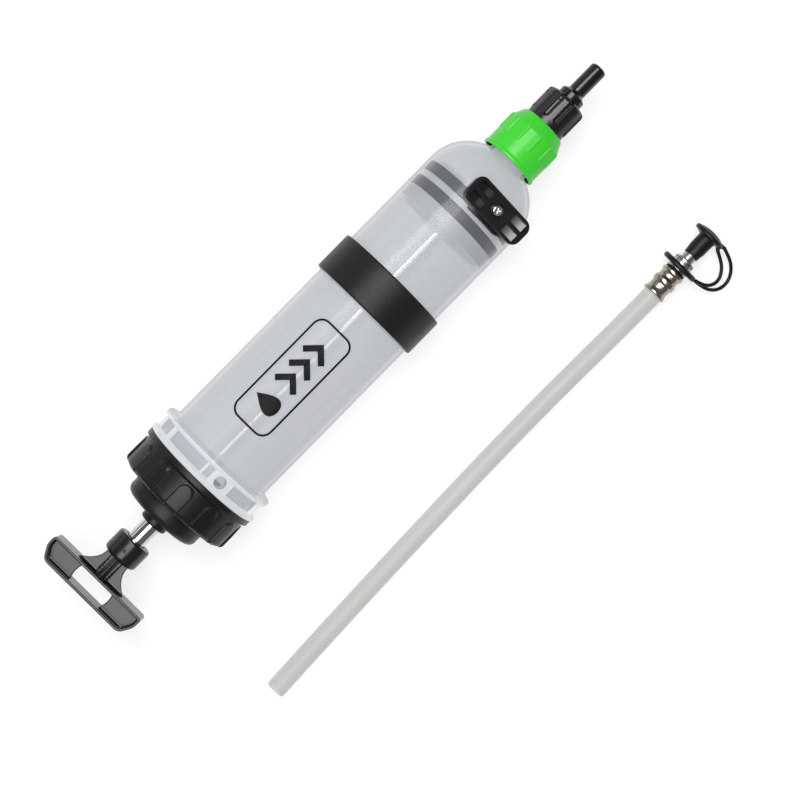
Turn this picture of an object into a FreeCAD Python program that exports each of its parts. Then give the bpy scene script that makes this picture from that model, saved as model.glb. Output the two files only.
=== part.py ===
"""Hand pump for moving workshop fluids: a clear barrel with a piston, a T handle, a screwed outlet
and a loose hose with a crimped coupling and a capped, tethered nipple.

The pump lies on its side with its axis along +X towards the nozzle, +Y to its left and +Z up.
The origin is on the ground under the middle of the pump. All sizes are in millimetres.
"""
import FreeCAD
import Part
import math
import os

from FreeCAD import Vector

# --- driving dimensions -------------------------------------------------------------------------
LENGTH = 533.5            # back of the grip to the tip of the nozzle
BORE_R = 40.0             # inside of the barrel
BARREL_R = 42.5           # outside of the barrel
FLANGE_R = 50.0           # rear flange, which the pump lies on
GAP = 0.3                 # room between pieces that move past each other
FIT = 0.05                # radial room of a running fit
AXIS_Z = FLANGE_R         # height of the pump's axis

# lengths along the axis, from the grip to the rear flange
GRIP_DEPTH = 18.6
STEM = 18.15
HUB = 18.1
ROD_SHOWING = 16.5
BUSH_LIP = 7.0
BOSS = 12.8
RING_NUT = 31.1

# lengths along the axis, from the tip of the nozzle back to the dome
TUBE = 24.5
CONE = 2.9
SHOULDER = 5.4
CONNECTOR = 25.4
UNION = 38.4
NECK_SHOWING = 0.2

# --- stations along the axis --------------------------------------------------------------------
GRIP_X = -LENGTH / 2
STEM_X = GRIP_X + GRIP_DEPTH
HUB_X = STEM_X + STEM
HUB_END = HUB_X + HUB
BUSH_X = HUB_END + ROD_SHOWING
BOSS_X = BUSH_X + BUSH_LIP
NUT_X = BOSS_X + BOSS
FLANGE_X = NUT_X + RING_NUT + GAP

TIP_X = LENGTH / 2
TUBE_X = TIP_X - TUBE
CONE_X = TUBE_X - CONE
SHOULDER_X = CONE_X - SHOULDER
UNION_END = SHOULDER_X - CONNECTOR
UNION_X = UNION_END - UNION
NECK_X = UNION_X - NECK_SHOWING

# --- barrel -------------------------------------------------------------------------------------
FLANGE_T = 3.8            # rear flange
FRONT_FLANGE_X = FLANGE_X + 14.5
FRONT_FLANGE_T = 5.2
FRONT_FLANGE_R = 49.6
LAND_R = 47.5             # wall between the two flanges
POCKET_R = 44.4           # floor of the pockets in that wall
POCKETS = [(-45, 0), (2, 9.5), (31, 75), (78, 122), (125, 169), (172, 216), (219, 263), (266, 312)]
VENT_ANGLE = 19.4         # from the top, towards -Y
VENT_R = 4.7
VENT_BOSS_R = 8.0
VENT_BOSS_TOP = 48.3
SPIGOT_R = 43.4           # threaded end under the ring nut
SPIGOT_X = NUT_X + 5.0
DOME_R = 36.0             # radius of the dome's shoulder
DOME_CENTRE_R = BARREL_R - DOME_R
NECK_R = 19.6             # threaded neck under the union nut
NECK_BORE = 15.5
NECK_END = UNION_X + 26.0
DOME_TURN = math.acos((NECK_R - DOME_CENTRE_R) / DOME_R)
DOME_X = NECK_X - DOME_R * math.sin(DOME_TURN)
WALL = BARREL_R - BORE_R

BAND_X = 22.3
BAND_LENGTH = 31.0
BAND_R = 45.7

# --- bracket ------------------------------------------------------------------------------------
BRACKET_ANGLE = 25.0      # from the top, towards -Y
BRACKET_X = 136.8         # middle of the bracket
BRACKET_WIDTH = 21.2
BRACKET_LENGTH = 57.5
BRACKET_FACE = 50.0       # distance of its outer face from the pump's axis
BRACKET_CORNER = 7.0
UNDERCUT = 0.55           # how much the high end draws in for each millimetre below the face
LIP_WIDTH = 2.8
LIP_T = 3.0
LIP_SWEEP = (-22, 26)
POCKET_WIDTH = 5.2
POCKET_PITCH = 8.6
POCKET_START = 11.0
POCKET_END = 23.8
POCKET_FLOOR = 5.0        # level part of a pocket's floor, before its ramp
POCKET_DEEP = 6.0
POCKET_SHALLOW = 1.6
BARREL_BOSS_R = 4.2
BARREL_BOSS_TOP = 45.2
SCREW_SEAT = 47.6
SCREW_R = 1.75
SCREW_HEAD_R = 3.9
SCREW_HEAD_T = 2.5
SCREW_SLOT = (3.8, 0.9, 1.4)   # length, width and depth of each blade of the cross
SCREW_TURN = 30.0
RECESS_R = 5.3

# --- end plug, bush and ring nut ------------------------------------------------------------------
BOSS_R = 31.4
ROD_R = 7.5
BUSH_LIP_R = 10.9
BUSH_R = 9.5
BUSH_END = NUT_X + 6.0
PLUG_FLANGE_R = 43.0
PLUG_R = 39.8
PLUG_END = SPIGOT_X + 14.0
PLUG_WALL = 4.0
O_RING_R = 1.6            # thickness radius of the plug's seal ring
NUT_BASE_R = 46.5
NUT_PAD_R = 47.8
NUT_SKIRT_R = 49.2
NUT_SKIRT = 4.2
NUT_BORE = SPIGOT_R + GAP + 0.1
PADS = 12
PAD_SWEEP = 15.0
PAD_PHASE = 4.0
PAD_END = NUT_X + 24.3

# --- piston ---------------------------------------------------------------------------------------
PISTON_X = 99.4           # rear face of the piston when it is pushed right in
DISC_R = 39.5
SEAL_R = 39.95
REAR_DISC = 13.0
SEAL = 8.4
SPACER = 5.0
FRONT_DISC_R = 36.5
FRONT_DISC = 4.0
WASHER_R = 13.0
WASHER_T = 2.0
NUT_FLATS = 19.0
NUT_T = 8.0
STUD_R = 6.0

# --- handle ---------------------------------------------------------------------------------------
GRIP_HALF = 43.3
GRIP_T = 24.0             # depth of the grip's rim
GRIP_SHOULDER = 9.5       # length of each slanted shoulder along the axis
GRIP_SLANT = 5.6          # and how much it narrows the back
GRIP_BACK_R = 6.5
GRIP_SIDE_R = 11.0
GRIP_FRONT_R = 2.2
RIM = 2.05
WEB_T = 3.4
SLOT_HALF = 15.0
HUB_R = 13.9
STEM_R = 5.9
GUSSET_T = 3.4
GUSSET_WIDE = 22.8
GUSSET_MIDDLE = 14.2
GUSSET_NARROW = 10.1
PIN_X = HUB_X + 9.0
PIN_R = 1.5

# --- outlet ---------------------------------------------------------------------------------------
LIP_R = 23.3
LIP_LENGTH = 4.1
UNION_R = 22.6
UNION_TAPER = 9.9
UNION_NOSE_R = 16.75
UNION_RIBS = 12
UNION_RIB_X = (15.0, 31.0)
CONNECTOR_R = 16.2
FLUID_R = 6.0
GROOVE_PAIRS = 4
GROOVE_ANGLE = 15.5
GROOVE_WIDTH = 3.8
GROOVE_DEPTH = 1.6
GROOVE_X = UNION_END + 4.0
SHOULDER_R = 10.05
TUBE_R = 6.5
TUBE_BORE = 4.5
TAIL_R = 8.2
TAIL = 14.0

# --- hose and its fitting -------------------------------------------------------------------------
HOSE_R = 7.6
HOSE_BORE = 6.0
FITTING_Y = -143.7
FITTING_Z = 15.5          # held up by the ring of the tether
FERRULE_X = 182.0
FERRULE = 23.3
BLACK_RING = 2.4
COUPLER = 10.4
NIPPLE_R = 5.3
NIPPLE_SHOWING = 4.7
CAP = 19.0
CAP_DISC = 4.8
CAP_DISC_R = 13.0
CAP_SKIRT_R = (5.85, 6.9)
TETHER_R = 15.4
TETHER_T = 4.2
STRAND_R = 1.35
COLLAR_R = 8.4
HOSE_ROUTE = [
    (-225.0, -150.0, HOSE_R),
    (-166.5, -147.6, HOSE_R),
    (-92.0, -145.3, HOSE_R),
    (-8.0, -143.2, HOSE_R),
    (60.0, -142.7, HOSE_R),
    (108.0, -143.2, 8.4),
    (150.0, FITTING_Y, 14.9),
    (FERRULE_X, FITTING_Y, FITTING_Z),
]
OUTER_STRAND = [
    (211.0, -159.2, 14.0),
    (211.8, -166.2, 12.2),
    (215.4, -173.2, 7.4),
    (222.0, -177.8, 3.6),
    (230.4, -178.0, 2.2),
    (237.6, -173.8, 3.8),
    (242.2, -166.6, 8.2),
    (243.8, -158.2, 13.0),
]
INNER_STRAND = [
    (211.0, -159.2, 17.2),
    (212.4, -165.0, 16.0),
    (217.0, -170.2, 13.4),
    (223.6, -171.9, 11.6),
    (230.2, -168.9, 11.4),
    (235.4, -163.2, 12.8),
    (238.6, -155.6, 15.4),
]


def outline(corners, place):
    """Closed wire through corners (u, v) or (u, v, radius); a radius rounds its corner with an arc."""
    flat = [Vector(c[0], c[1], 0) for c in corners]
    pieces = []
    for i, corner in enumerate(corners):
        here = flat[i]
        radius = corner[2] if len(corner) > 2 else 0.0
        if radius <= 0:
            pieces.append((here, None, here))
            continue
        back = (flat[i - 1] - here).normalize()
        ahead = (flat[(i + 1) % len(flat)] - here).normalize()
        half = back.getAngle(ahead) / 2
        middle = (back + ahead).normalize()
        reach = radius / math.tan(half)
        crown = here + middle * (radius / math.sin(half) - radius)
        pieces.append((here + back * reach, crown, here + ahead * reach))
    edges = []
    for i, (start, crown, end) in enumerate(pieces):
        if crown is not None:
            edges.append(Part.Arc(*[place(p.x, p.y) for p in (start, crown, end)]).toShape())
        follow = pieces[(i + 1) % len(pieces)][0]
        if end.distanceToPoint(follow) > 1e-4:
            edges.append(Part.LineSegment(place(end.x, end.y), place(follow.x, follow.y)).toShape())
    return Part.Wire(edges)


def turned(corners, y=0.0, z=AXIS_Z, sweep=(0, 360)):
    """Solid of revolution about the line along X through (y, z); the profile is (x, r) corners."""
    face = Part.Face(outline(corners, lambda x, r: Vector(x, y, z + r)))
    centre = Vector(0, y, z)
    if sweep[0]:
        face.rotate(centre, Vector(1, 0, 0), sweep[0])
    return face.revolve(centre, Vector(1, 0, 0), sweep[1] - sweep[0])


def plate(corners, low, high, axis="z"):
    """Prism of a rounded outline: (x, y) drawn at height low, or (y, z) at x = low with axis 'x'."""
    if axis == "z":
        face = Part.Face(outline(corners, lambda x, y: Vector(x, y, low)))
        return face.extrude(Vector(0, 0, high - low))
    face = Part.Face(outline(corners, lambda y, z: Vector(low, y, z)))
    return face.extrude(Vector(high - low, 0, 0))


def around(shape, angle):
    """A copy of the shape turned about the pump's axis, from the top towards -Y."""
    copy = shape.copy()
    copy.rotate(Vector(0, 0, AXIS_Z), Vector(1, 0, 0), angle)
    return copy


def upright(x, r, low, high):
    """Cylinder standing on the pump's axis line at x, from distance low to distance high above it."""
    return Part.makeCylinder(r, high - low, Vector(x, 0, AXIS_Z + low), Vector(0, 0, 1))


def tube(x, length, outer, inner, edge=0.0):
    """Plain ring about the pump's axis with rounded outer edges."""
    return turned([(x, inner), (x, outer, edge), (x + length, outer, edge), (x + length, inner)])


def save(name, shape):
    """Tidies the solid and writes parts/NAME.step."""
    solid = shape.removeSplitter()
    if solid.ShapeType != "Solid" and len(solid.Solids) == 1:
        solid = solid.Solids[0]
    if not solid.isValid():
        raise ValueError(f"{name} is not a valid solid")
    solid.exportStep(f"parts/{name}.step")
    b = solid.BoundBox
    print(f"{name:18s} solids {len(solid.Solids)} volume {solid.Volume / 1000:9.2f} cm3 "
          f"x {b.XMin:8.2f} {b.XMax:8.2f} y {b.YMin:8.2f} {b.YMax:8.2f} z {b.ZMin:7.2f} {b.ZMax:7.2f}")
    return solid


# --- barrel and what is fixed to it ---------------------------------------------------------------
def dome_corner(offset):
    """Corner whose rounding is the dome's shoulder, offset outwards from the barrel's outside."""
    radius = DOME_R + offset
    return (DOME_X + radius * math.tan(DOME_TURN / 2), BARREL_R + offset, radius)


def dome_end(offset):
    """Where the shoulder's arc ends at the neck."""
    radius = DOME_R + offset
    return (DOME_X + radius * math.sin(DOME_TURN), DOME_CENTRE_R + radius * math.cos(DOME_TURN))


def barrel():
    inner_x, inner_r = dome_end(-WALL)
    body = turned([
        (SPIGOT_X, BORE_R), (SPIGOT_X, SPIGOT_R, 0.6), (FLANGE_X, SPIGOT_R),
        (FLANGE_X, FLANGE_R, 1.6), (FLANGE_X + FLANGE_T, FLANGE_R, 1.6), (FLANGE_X + FLANGE_T, LAND_R),
        (FRONT_FLANGE_X, LAND_R), (FRONT_FLANGE_X, FRONT_FLANGE_R, 1.6),
        (FRONT_FLANGE_X + FRONT_FLANGE_T, FRONT_FLANGE_R, 2.2),
        (FRONT_FLANGE_X + FRONT_FLANGE_T, BARREL_R, 1.5),
        dome_corner(0), dome_end(0), (NECK_END, NECK_R, 0.8), (NECK_END, NECK_BORE),
        (inner_x + 2.0, NECK_BORE, 1.0), (inner_x, inner_r), dome_corner(-WALL),
    ])
    for start, end in POCKETS:
        pocket = turned([
            (FLANGE_X + FLANGE_T, POCKET_R), (FLANGE_X + FLANGE_T, FLANGE_R + 2),
            (FRONT_FLANGE_X, FLANGE_R + 2), (FRONT_FLANGE_X, POCKET_R)], sweep=(start, end))
        body = body.cut(pocket)
    vent_x = (FLANGE_X + FLANGE_T + FRONT_FLANGE_X) / 2
    body = body.fuse(around(upright(vent_x, VENT_BOSS_R, BORE_R + 1, VENT_BOSS_TOP), VENT_ANGLE))
    body = body.cut(around(upright(vent_x, VENT_R, BORE_R - 3, FLANGE_R + 2), VENT_ANGLE))
    body = body.fuse(around(upright(BRACKET_X, BARREL_BOSS_R, BORE_R + 1, BARREL_BOSS_TOP), BRACKET_ANGLE))
    pilot = upright(BRACKET_X, SCREW_R + FIT, BARREL_R - 0.6, BARREL_BOSS_TOP + 1)
    return body.cut(around(pilot, BRACKET_ANGLE))


def grip_band():
    return tube(BAND_X, BAND_LENGTH, BAND_R, BARREL_R, 1.4)


def bracket():
    low_x = BRACKET_X - BRACKET_WIDTH / 2
    high_x = BRACKET_X + BRACKET_WIDTH / 2
    half = BRACKET_LENGTH / 2
    block = plate([(low_x, -half, BRACKET_CORNER), (high_x, -half, BRACKET_CORNER),
                   (high_x, half, BRACKET_CORNER), (low_x, half, BRACKET_CORNER)],
                  AXIS_Z + BARREL_R / 2, AXIS_Z + BRACKET_FACE)
    top = AXIS_Z + BRACKET_FACE - 1
    bottom = AXIS_Z + BARREL_R / 2 - 1
    block = block.cut(plate([(half, top), (half + 1, top), (half + 1, bottom),
                             (half - UNDERCUT * (top - bottom), bottom)], low_x - 1, high_x + 1, "x"))
    lip = turned([(low_x - LIP_WIDTH, BARREL_R - 1), (low_x - LIP_WIDTH, BARREL_R + LIP_T, 1.0),
                  (low_x + 2, BARREL_R + LIP_T), (low_x + 2, BARREL_R - 1)], sweep=LIP_SWEEP)
    body = block.fuse(lip)
    corner_x, corner_r, shoulder = dome_corner(GAP / 2)
    end_x, end_r = dome_end(GAP / 2)
    seat = turned([(low_x - 10, 0), (low_x - 10, BARREL_R + GAP / 2), (corner_x, corner_r, shoulder),
                   (end_x, end_r), (end_x, 0)])
    body = body.cut(seat)
    for side in (-1, 1):
        for row in (-1, 1):
            middle = BRACKET_X + row * POCKET_PITCH / 2
            profile = [(side * POCKET_START, AXIS_Z + BRACKET_FACE + 1),
                       (side * POCKET_END, AXIS_Z + BRACKET_FACE + 1),
                       (side * POCKET_END, AXIS_Z + BRACKET_FACE - POCKET_SHALLOW),
                       (side * (POCKET_START + POCKET_FLOOR), AXIS_Z + BRACKET_FACE - POCKET_DEEP),
                       (side * POCKET_START, AXIS_Z + BRACKET_FACE - POCKET_DEEP)]
            body = body.cut(plate(profile, middle - POCKET_WIDTH / 2, middle + POCKET_WIDTH / 2, "x"))
    body = body.cut(upright(BRACKET_X, RECESS_R, SCREW_SEAT, BRACKET_FACE + 1))
    body = body.cut(upright(BRACKET_X, SCREW_R + 0.3, BARREL_R, SCREW_SEAT + 1))
    body = body.cut(upright(BRACKET_X, BARREL_BOSS_R + GAP, BARREL_R - 4, BARREL_BOSS_TOP + GAP))
    return around(body, BRACKET_ANGLE)


def bracket_screw():
    head = upright(BRACKET_X, SCREW_HEAD_R, SCREW_SEAT, SCREW_SEAT + SCREW_HEAD_T)
    head = head.makeFillet(1.6, [head.Edges[0]])
    shank = upright(BRACKET_X, SCREW_R, BARREL_R - 0.3, SCREW_SEAT + 0.5)
    body = head.fuse(shank)
    top = AXIS_Z + SCREW_SEAT + SCREW_HEAD_T
    length, width, depth = SCREW_SLOT
    corner = Vector(BRACKET_X - length / 2, -width / 2, top - depth)
    for turn in (0, 90):
        blade = Part.makeBox(length, width, depth + 1, corner)
        blade.rotate(Vector(BRACKET_X, 0, 0), Vector(0, 0, 1), turn + SCREW_TURN)
        body = body.cut(blade)
    return around(body, BRACKET_ANGLE)


# --- end plug and ring nut ------------------------------------------------------------------------
def end_plug():
    seat_x = SPIGOT_X - GAP
    body = turned([
        (BOSS_X, BUSH_R), (BOSS_X, BOSS_R, 5.4), (NUT_X + 2.0, BOSS_R), (NUT_X + 2.0, PLUG_FLANGE_R),
        (seat_x, PLUG_FLANGE_R), (seat_x, PLUG_R), (PLUG_END, PLUG_R, 0.6),
        (PLUG_END, PLUG_R - PLUG_WALL), (BUSH_END - 2, PLUG_R - PLUG_WALL, 3.0),
        (BUSH_END - 2, BUSH_R + 5, 1.5), (BUSH_END + 8, BUSH_R + 5, 1.0), (BUSH_END + 8, ROD_R + FIT),
        (BUSH_END + 4, ROD_R + FIT), (BUSH_END + 4, BUSH_R),
    ])
    groove = O_RING_R * 2
    centre = (seat_x + PLUG_END) / 2
    return body.cut(tube(centre - groove / 2, groove, PLUG_R + 1, PLUG_R - groove))


def rod_bush():
    return turned([
        (BUSH_X, ROD_R + FIT), (BUSH_X, BUSH_LIP_R, 1.8), (BOSS_X, BUSH_LIP_R), (BOSS_X, BUSH_R),
        (BUSH_END, BUSH_R), (BUSH_END, ROD_R + FIT),
    ])


def rod_seal():
    return tube(BUSH_END + 0.2, 3.6, BUSH_R, ROD_R + FIT, 0.6)


def plug_o_ring():
    centre = (SPIGOT_X - GAP + PLUG_END) / 2
    radius = PLUG_R - O_RING_R + 2 * FIT
    return Part.makeTorus(radius, O_RING_R - FIT, Vector(centre, 0, AXIS_Z), Vector(1, 0, 0))


def end_ring_nut():
    end = NUT_X + RING_NUT
    body = turned([
        (NUT_X, BOSS_R + GAP), (NUT_X, BOSS_R + 3, 0.5), (NUT_X + 2.6, NUT_BASE_R, 2.4),
        (end - NUT_SKIRT - 1.2, NUT_BASE_R), (end - NUT_SKIRT, NUT_SKIRT_R, 0.8), (end, NUT_SKIRT_R, 0.5),
        (end, NUT_BORE), (NUT_X + 1.7, NUT_BORE), (NUT_X + 1.7, BOSS_R + GAP),
    ])
    half = math.radians(PAD_SWEEP / 2) * NUT_PAD_R
    pad = plate([(NUT_X + 1.6, -half), (PAD_END, -half, half * 0.9), (PAD_END, half, half * 0.9),
                 (NUT_X + 1.6, half)], AXIS_Z + NUT_BORE + 1, AXIS_Z + NUT_PAD_R + 1)
    pad = pad.common(turned([(NUT_X + 1.0, 0), (NUT_X + 1.0, NUT_PAD_R, 4.0), (end, NUT_PAD_R), (end, 0)]))
    for i in range(PADS):
        body = body.fuse(around(pad, PAD_PHASE + i * 360 / PADS))
    return body


# --- piston ---------------------------------------------------------------------------------------
REAR_SEAL_X = PISTON_X + REAR_DISC
SPACER_X = REAR_SEAL_X + SEAL
FRONT_SEAL_X = SPACER_X + SPACER
FRONT_DISC_X = FRONT_SEAL_X + SEAL
WASHER_X = FRONT_DISC_X + FRONT_DISC + GAP
PISTON_NUT_X = WASHER_X + WASHER_T
ROD_END = PISTON_NUT_X + NUT_T + 2.0
SEAL_BORE = 18.0


def piston_rear():
    """Rear disc with a stub that carries both seals and the spacer between them."""
    return turned([
        (PISTON_X, STUD_R + FIT), (PISTON_X, 16.0, 1.0), (PISTON_X + 4, 16.0, 1.0),
        (PISTON_X + 4, DISC_R - 6, 1.0), (PISTON_X + 2, DISC_R, 1.0), (REAR_SEAL_X, DISC_R, 0.5),
        (REAR_SEAL_X, SEAL_BORE), (SPACER_X, SEAL_BORE), (SPACER_X, DISC_R - 1.5, 0.5),
        (FRONT_SEAL_X, DISC_R - 1.5, 0.5), (FRONT_SEAL_X, SEAL_BORE), (FRONT_DISC_X, SEAL_BORE),
        (FRONT_DISC_X, STUD_R + FIT),
    ])


def seal(x, facing):
    """Cup seal: a ring whose lip flares to the bore on the side it faces."""
    back, front = (x, x + SEAL) if facing > 0 else (x + SEAL, x)
    return turned([
        (back, SEAL_BORE), (back, SEAL_R - 1.2, 0.6), (front - facing * 2, SEAL_R, 0.4), (front, SEAL_R),
        (front, SEAL_R - 2.0), (front - facing * 5, SEAL_R - 4.5, 1.0), (front - facing * 5, 26.0, 1.0),
        (front, 25.0), (front, SEAL_BORE),
    ])


def piston_front():
    return tube(FRONT_DISC_X, FRONT_DISC, FRONT_DISC_R, STUD_R + FIT, 1.0)


def piston_nut():
    half = NUT_FLATS / 2 / math.cos(math.pi / 6)
    corners = [(half * math.cos(math.radians(a)), AXIS_Z + half * math.sin(math.radians(a)))
               for a in range(0, 360, 60)]
    body = plate(corners, PISTON_NUT_X, PISTON_NUT_X + NUT_T, "x")
    body = body.common(turned([(PISTON_NUT_X, 0), (PISTON_NUT_X, half, 0.8),
                               (PISTON_NUT_X + NUT_T, half, 0.8), (PISTON_NUT_X + NUT_T, 0)]))
    return body.cut(tube(PISTON_NUT_X - 1, NUT_T + 2, STUD_R, 0))


def rod():
    """Polished rod with a shoulder behind the piston and a thinner stud through it."""
    body = turned([
        (HUB_X + 2, 0), (HUB_X + 2, ROD_R, 1.0), (PISTON_X - GAP, ROD_R), (PISTON_X - GAP, STUD_R),
        (ROD_END, STUD_R, 1.0), (ROD_END, 0),
    ])
    return body.cut(upright(PIN_X, PIN_R, -ROD_R - 1, ROD_R + 1))


# --- handle ---------------------------------------------------------------------------------------
def grip_outline(inset):
    """Plan of the grip, drawn inwards by inset: flat back, slanted shoulders, square front corners."""
    back = GRIP_X + inset
    front = GRIP_X + GRIP_DEPTH - inset
    half = GRIP_HALF - inset
    shoulder = back + GRIP_SHOULDER
    front_r = GRIP_FRONT_R - inset / 2
    return [(back, GRIP_SLANT - half, GRIP_BACK_R - inset), (shoulder, -half, GRIP_SIDE_R - inset),
            (front, -half, front_r), (front, half, front_r),
            (shoulder, half, GRIP_SIDE_R - inset), (back, half - GRIP_SLANT, GRIP_BACK_R - inset)]


def gusset():
    """Flat web each side of the stem, with concave edges that run from the grip to the hub."""
    root = STEM_X - RIM / 2
    tip = HUB_X + 2.0
    low = AXIS_Z - GUSSET_T / 2
    edges = []
    for side in (1, -1):
        wide = Vector(STEM_X, side * GUSSET_WIDE, low)
        middle = Vector(STEM_X + 0.36 * STEM, side * GUSSET_MIDDLE, low)
        narrow = Vector(tip, side * (GUSSET_NARROW - 0.4), low)
        edges.append(Part.LineSegment(Vector(root, side * GUSSET_WIDE, low), wide).toShape())
        edges.append(Part.Arc(wide, middle, narrow).toShape())
    for x, half in ((root, GUSSET_WIDE), (tip, GUSSET_NARROW - 0.4)):
        edges.append(Part.LineSegment(Vector(x, -half, low), Vector(x, half, low)).toShape())
    wire = Part.Wire(Part.__sortEdges__(edges))
    return Part.Face(wire).extrude(Vector(0, 0, GUSSET_T))


def handle():
    low, high = AXIS_Z - GRIP_T / 2, AXIS_Z + GRIP_T / 2
    body = plate(grip_outline(0), low, high)
    panel = grip_outline(RIM)
    body = body.cut(plate(panel, AXIS_Z + WEB_T / 2, high + 1))
    body = body.cut(plate(panel, low - 1, AXIS_Z - WEB_T / 2))
    slot = plate([(GRIP_X + RIM, -SLOT_HALF, 2.0), (STEM_X - RIM, -SLOT_HALF, 2.0),
                  (STEM_X - RIM, SLOT_HALF, 2.0), (GRIP_X + RIM, SLOT_HALF, 2.0)], low - 1, high + 1)
    body = body.cut(slot)
    body = body.fuse(gusset())
    body = body.fuse(turned([(STEM_X - 1, 0), (STEM_X - 1, STEM_R), (HUB_X + 2, STEM_R), (HUB_X + 2, 0)]))
    body = body.fuse(turned([(HUB_X, 0), (HUB_X, HUB_R, 3.0), (HUB_END, HUB_R, 1.6), (HUB_END, 0)]))
    bore = ROD_R + FIT
    socket = turned([(HUB_X + 1.8, 0), (HUB_X + 1.8, bore), (HUB_END + 1, bore), (HUB_END + 1, 0)])
    body = body.cut(socket)
    return body.cut(upright(PIN_X, PIN_R, -HUB_R - 1, HUB_R + 1))


def handle_pin():
    return upright(PIN_X, PIN_R - 0.02, -HUB_R + 0.8, HUB_R - 0.8)


# --- outlet ---------------------------------------------------------------------------------------
CONNECTOR_FLANGE_X = NECK_END + 1.6
CONNECTOR_FLANGE_T = 4.0
CONNECTOR_FLANGE_R = 18.9


def union_nut():
    inner = NECK_R + GAP
    shelf = CONNECTOR_FLANGE_X + CONNECTOR_FLANGE_T + GAP
    body = turned([
        (UNION_X, inner), (UNION_X, LIP_R, 1.0), (UNION_X + LIP_LENGTH, LIP_R, 1.0),
        (UNION_X + LIP_LENGTH + 0.8, UNION_R, 0.6), (UNION_END - UNION_TAPER, UNION_R, 5.0),
        (UNION_END, UNION_NOSE_R + 1.2, 1.4), (UNION_END, CONNECTOR_R + GAP), (shelf, CONNECTOR_R + GAP),
        (shelf, inner),
    ])
    start, end = (UNION_X + s for s in UNION_RIB_X)
    rib = turned([(start, inner + 1), (start, UNION_R + 0.9, 1.2), (end - 8, UNION_R + 0.9, 4.0),
                  (end, UNION_NOSE_R + 3.4, 0.8), (end, inner + 1)], sweep=(-4.5, 4.5))
    for i in range(UNION_RIBS):
        body = body.fuse(around(rib, 15 + i * 360 / UNION_RIBS))
    return body


def outlet_connector():
    """Stepped connector: clamped flange, grooved grip and a bore that the nozzle screws into."""
    socket_x = SHOULDER_X - TAIL - 0.5
    body = turned([
        (CONNECTOR_FLANGE_X, FLUID_R), (CONNECTOR_FLANGE_X, CONNECTOR_FLANGE_R, 0.5),
        (CONNECTOR_FLANGE_X + CONNECTOR_FLANGE_T, CONNECTOR_FLANGE_R, 0.5),
        (CONNECTOR_FLANGE_X + CONNECTOR_FLANGE_T, CONNECTOR_R), (SHOULDER_X - 4.6, CONNECTOR_R, 1.2),
        (SHOULDER_X, CONNECTOR_R - 3.6, 1.0), (SHOULDER_X, TAIL_R + FIT),
        (socket_x, TAIL_R + FIT), (socket_x, FLUID_R),
    ])
    half = GROOVE_WIDTH / 2
    cut = plate([(GROOVE_X, -half, half * 0.95), (SHOULDER_X + 1, -half), (SHOULDER_X + 1, half),
                 (GROOVE_X, half, half * 0.95)],
                AXIS_Z + CONNECTOR_R - GROOVE_DEPTH, AXIS_Z + CONNECTOR_R + 2)
    step = plate([(GROOVE_X + 15.2, -half), (GROOVE_X + 16.2, -half), (GROOVE_X + 16.2, half),
                  (GROOVE_X + 15.2, half)], AXIS_Z + CONNECTOR_R - GROOVE_DEPTH, AXIS_Z + CONNECTOR_R - 0.5)
    cut = cut.cut(step)
    for i in range(GROOVE_PAIRS):
        for side in (-1, 1):
            body = body.cut(around(cut, i * 360 / GROOVE_PAIRS + side * GROOVE_ANGLE))
    return body


def outlet_gasket():
    return tube(NECK_END + 0.1, 1.4, CONNECTOR_FLANGE_R - 0.4, NECK_BORE)


def nozzle():
    tail_x = SHOULDER_X - TAIL
    body = turned([
        (tail_x, TUBE_BORE), (tail_x, TAIL_R, 0.8), (SHOULDER_X, TAIL_R), (SHOULDER_X, SHOULDER_R, 0.6),
        (CONE_X, SHOULDER_R, 0.8), (TUBE_X, TUBE_R, 0.8), (TIP_X, TUBE_R, 1.9), (TIP_X, TUBE_BORE, 0.8),
    ])
    return body.cut(tube(tail_x + 2.0, 2.4, TAIL_R + 1, TAIL_R - 1.2))


def nozzle_o_ring():
    return tube(SHOULDER_X - TAIL + 2.1, 2.2, TAIL_R, TAIL_R - 1.2, 0.5)


# --- hose and its fitting -------------------------------------------------------------------------
def fitting_turned(corners, sweep=(0, 360)):
    return turned(corners, FITTING_Y, FITTING_Z, sweep)


def route_wire(points, name):
    """Straight runs joined by tangent arcs, each as large as its two runs allow."""
    nodes = [Vector(*p) for p in points]
    edges = []
    start = nodes[0]
    radii = []
    for before, here, after in zip(nodes, nodes[1:], nodes[2:]):
        back = (before - here)
        ahead = (after - here)
        shorter = min(back.Length, ahead.Length)
        back.normalize()
        ahead.normalize()
        turn = math.pi - back.getAngle(ahead)
        reach = 0.45 * shorter
        radius = reach / math.tan(turn / 2)
        middle = (back + ahead).normalize()
        crown = here + middle * (radius / math.cos(turn / 2) - radius)
        entry = here + back * reach
        leave = here + ahead * reach
        edges.append(Part.LineSegment(start, entry).toShape())
        edges.append(Part.Arc(entry, crown, leave).toShape())
        start = leave
        radii.append(radius)
    edges.append(Part.LineSegment(start, nodes[-1]).toShape())
    wire = Part.Wire(edges)
    print(f"{name}: length {wire.Length:.1f}, bend radii " + ", ".join(f"{r:.0f}" for r in radii))
    return wire


def swept(points, outer, inner, name):
    """Round tube along a route; inner 0 makes it solid. Prints its volume over section times length."""
    path = route_wire(points, name)
    start = Vector(*points[0])
    direction = (Vector(*points[1]) - start).normalize()
    rings = [Part.Wire(Part.makeCircle(r, start, direction)) for r in (outer, inner) if r > 0]
    body = path.makePipeShell([rings[0]], True, True)
    if inner:
        body = body.cut(path.makePipeShell([rings[1]], True, True))
    expected = math.pi * (outer ** 2 - inner ** 2) * path.Length
    print(f"{name}: volume over section times length {body.Volume / expected:.4f}")
    return body


def hose():
    return swept(HOSE_ROUTE, HOSE_R, HOSE_BORE, "hose")


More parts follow.
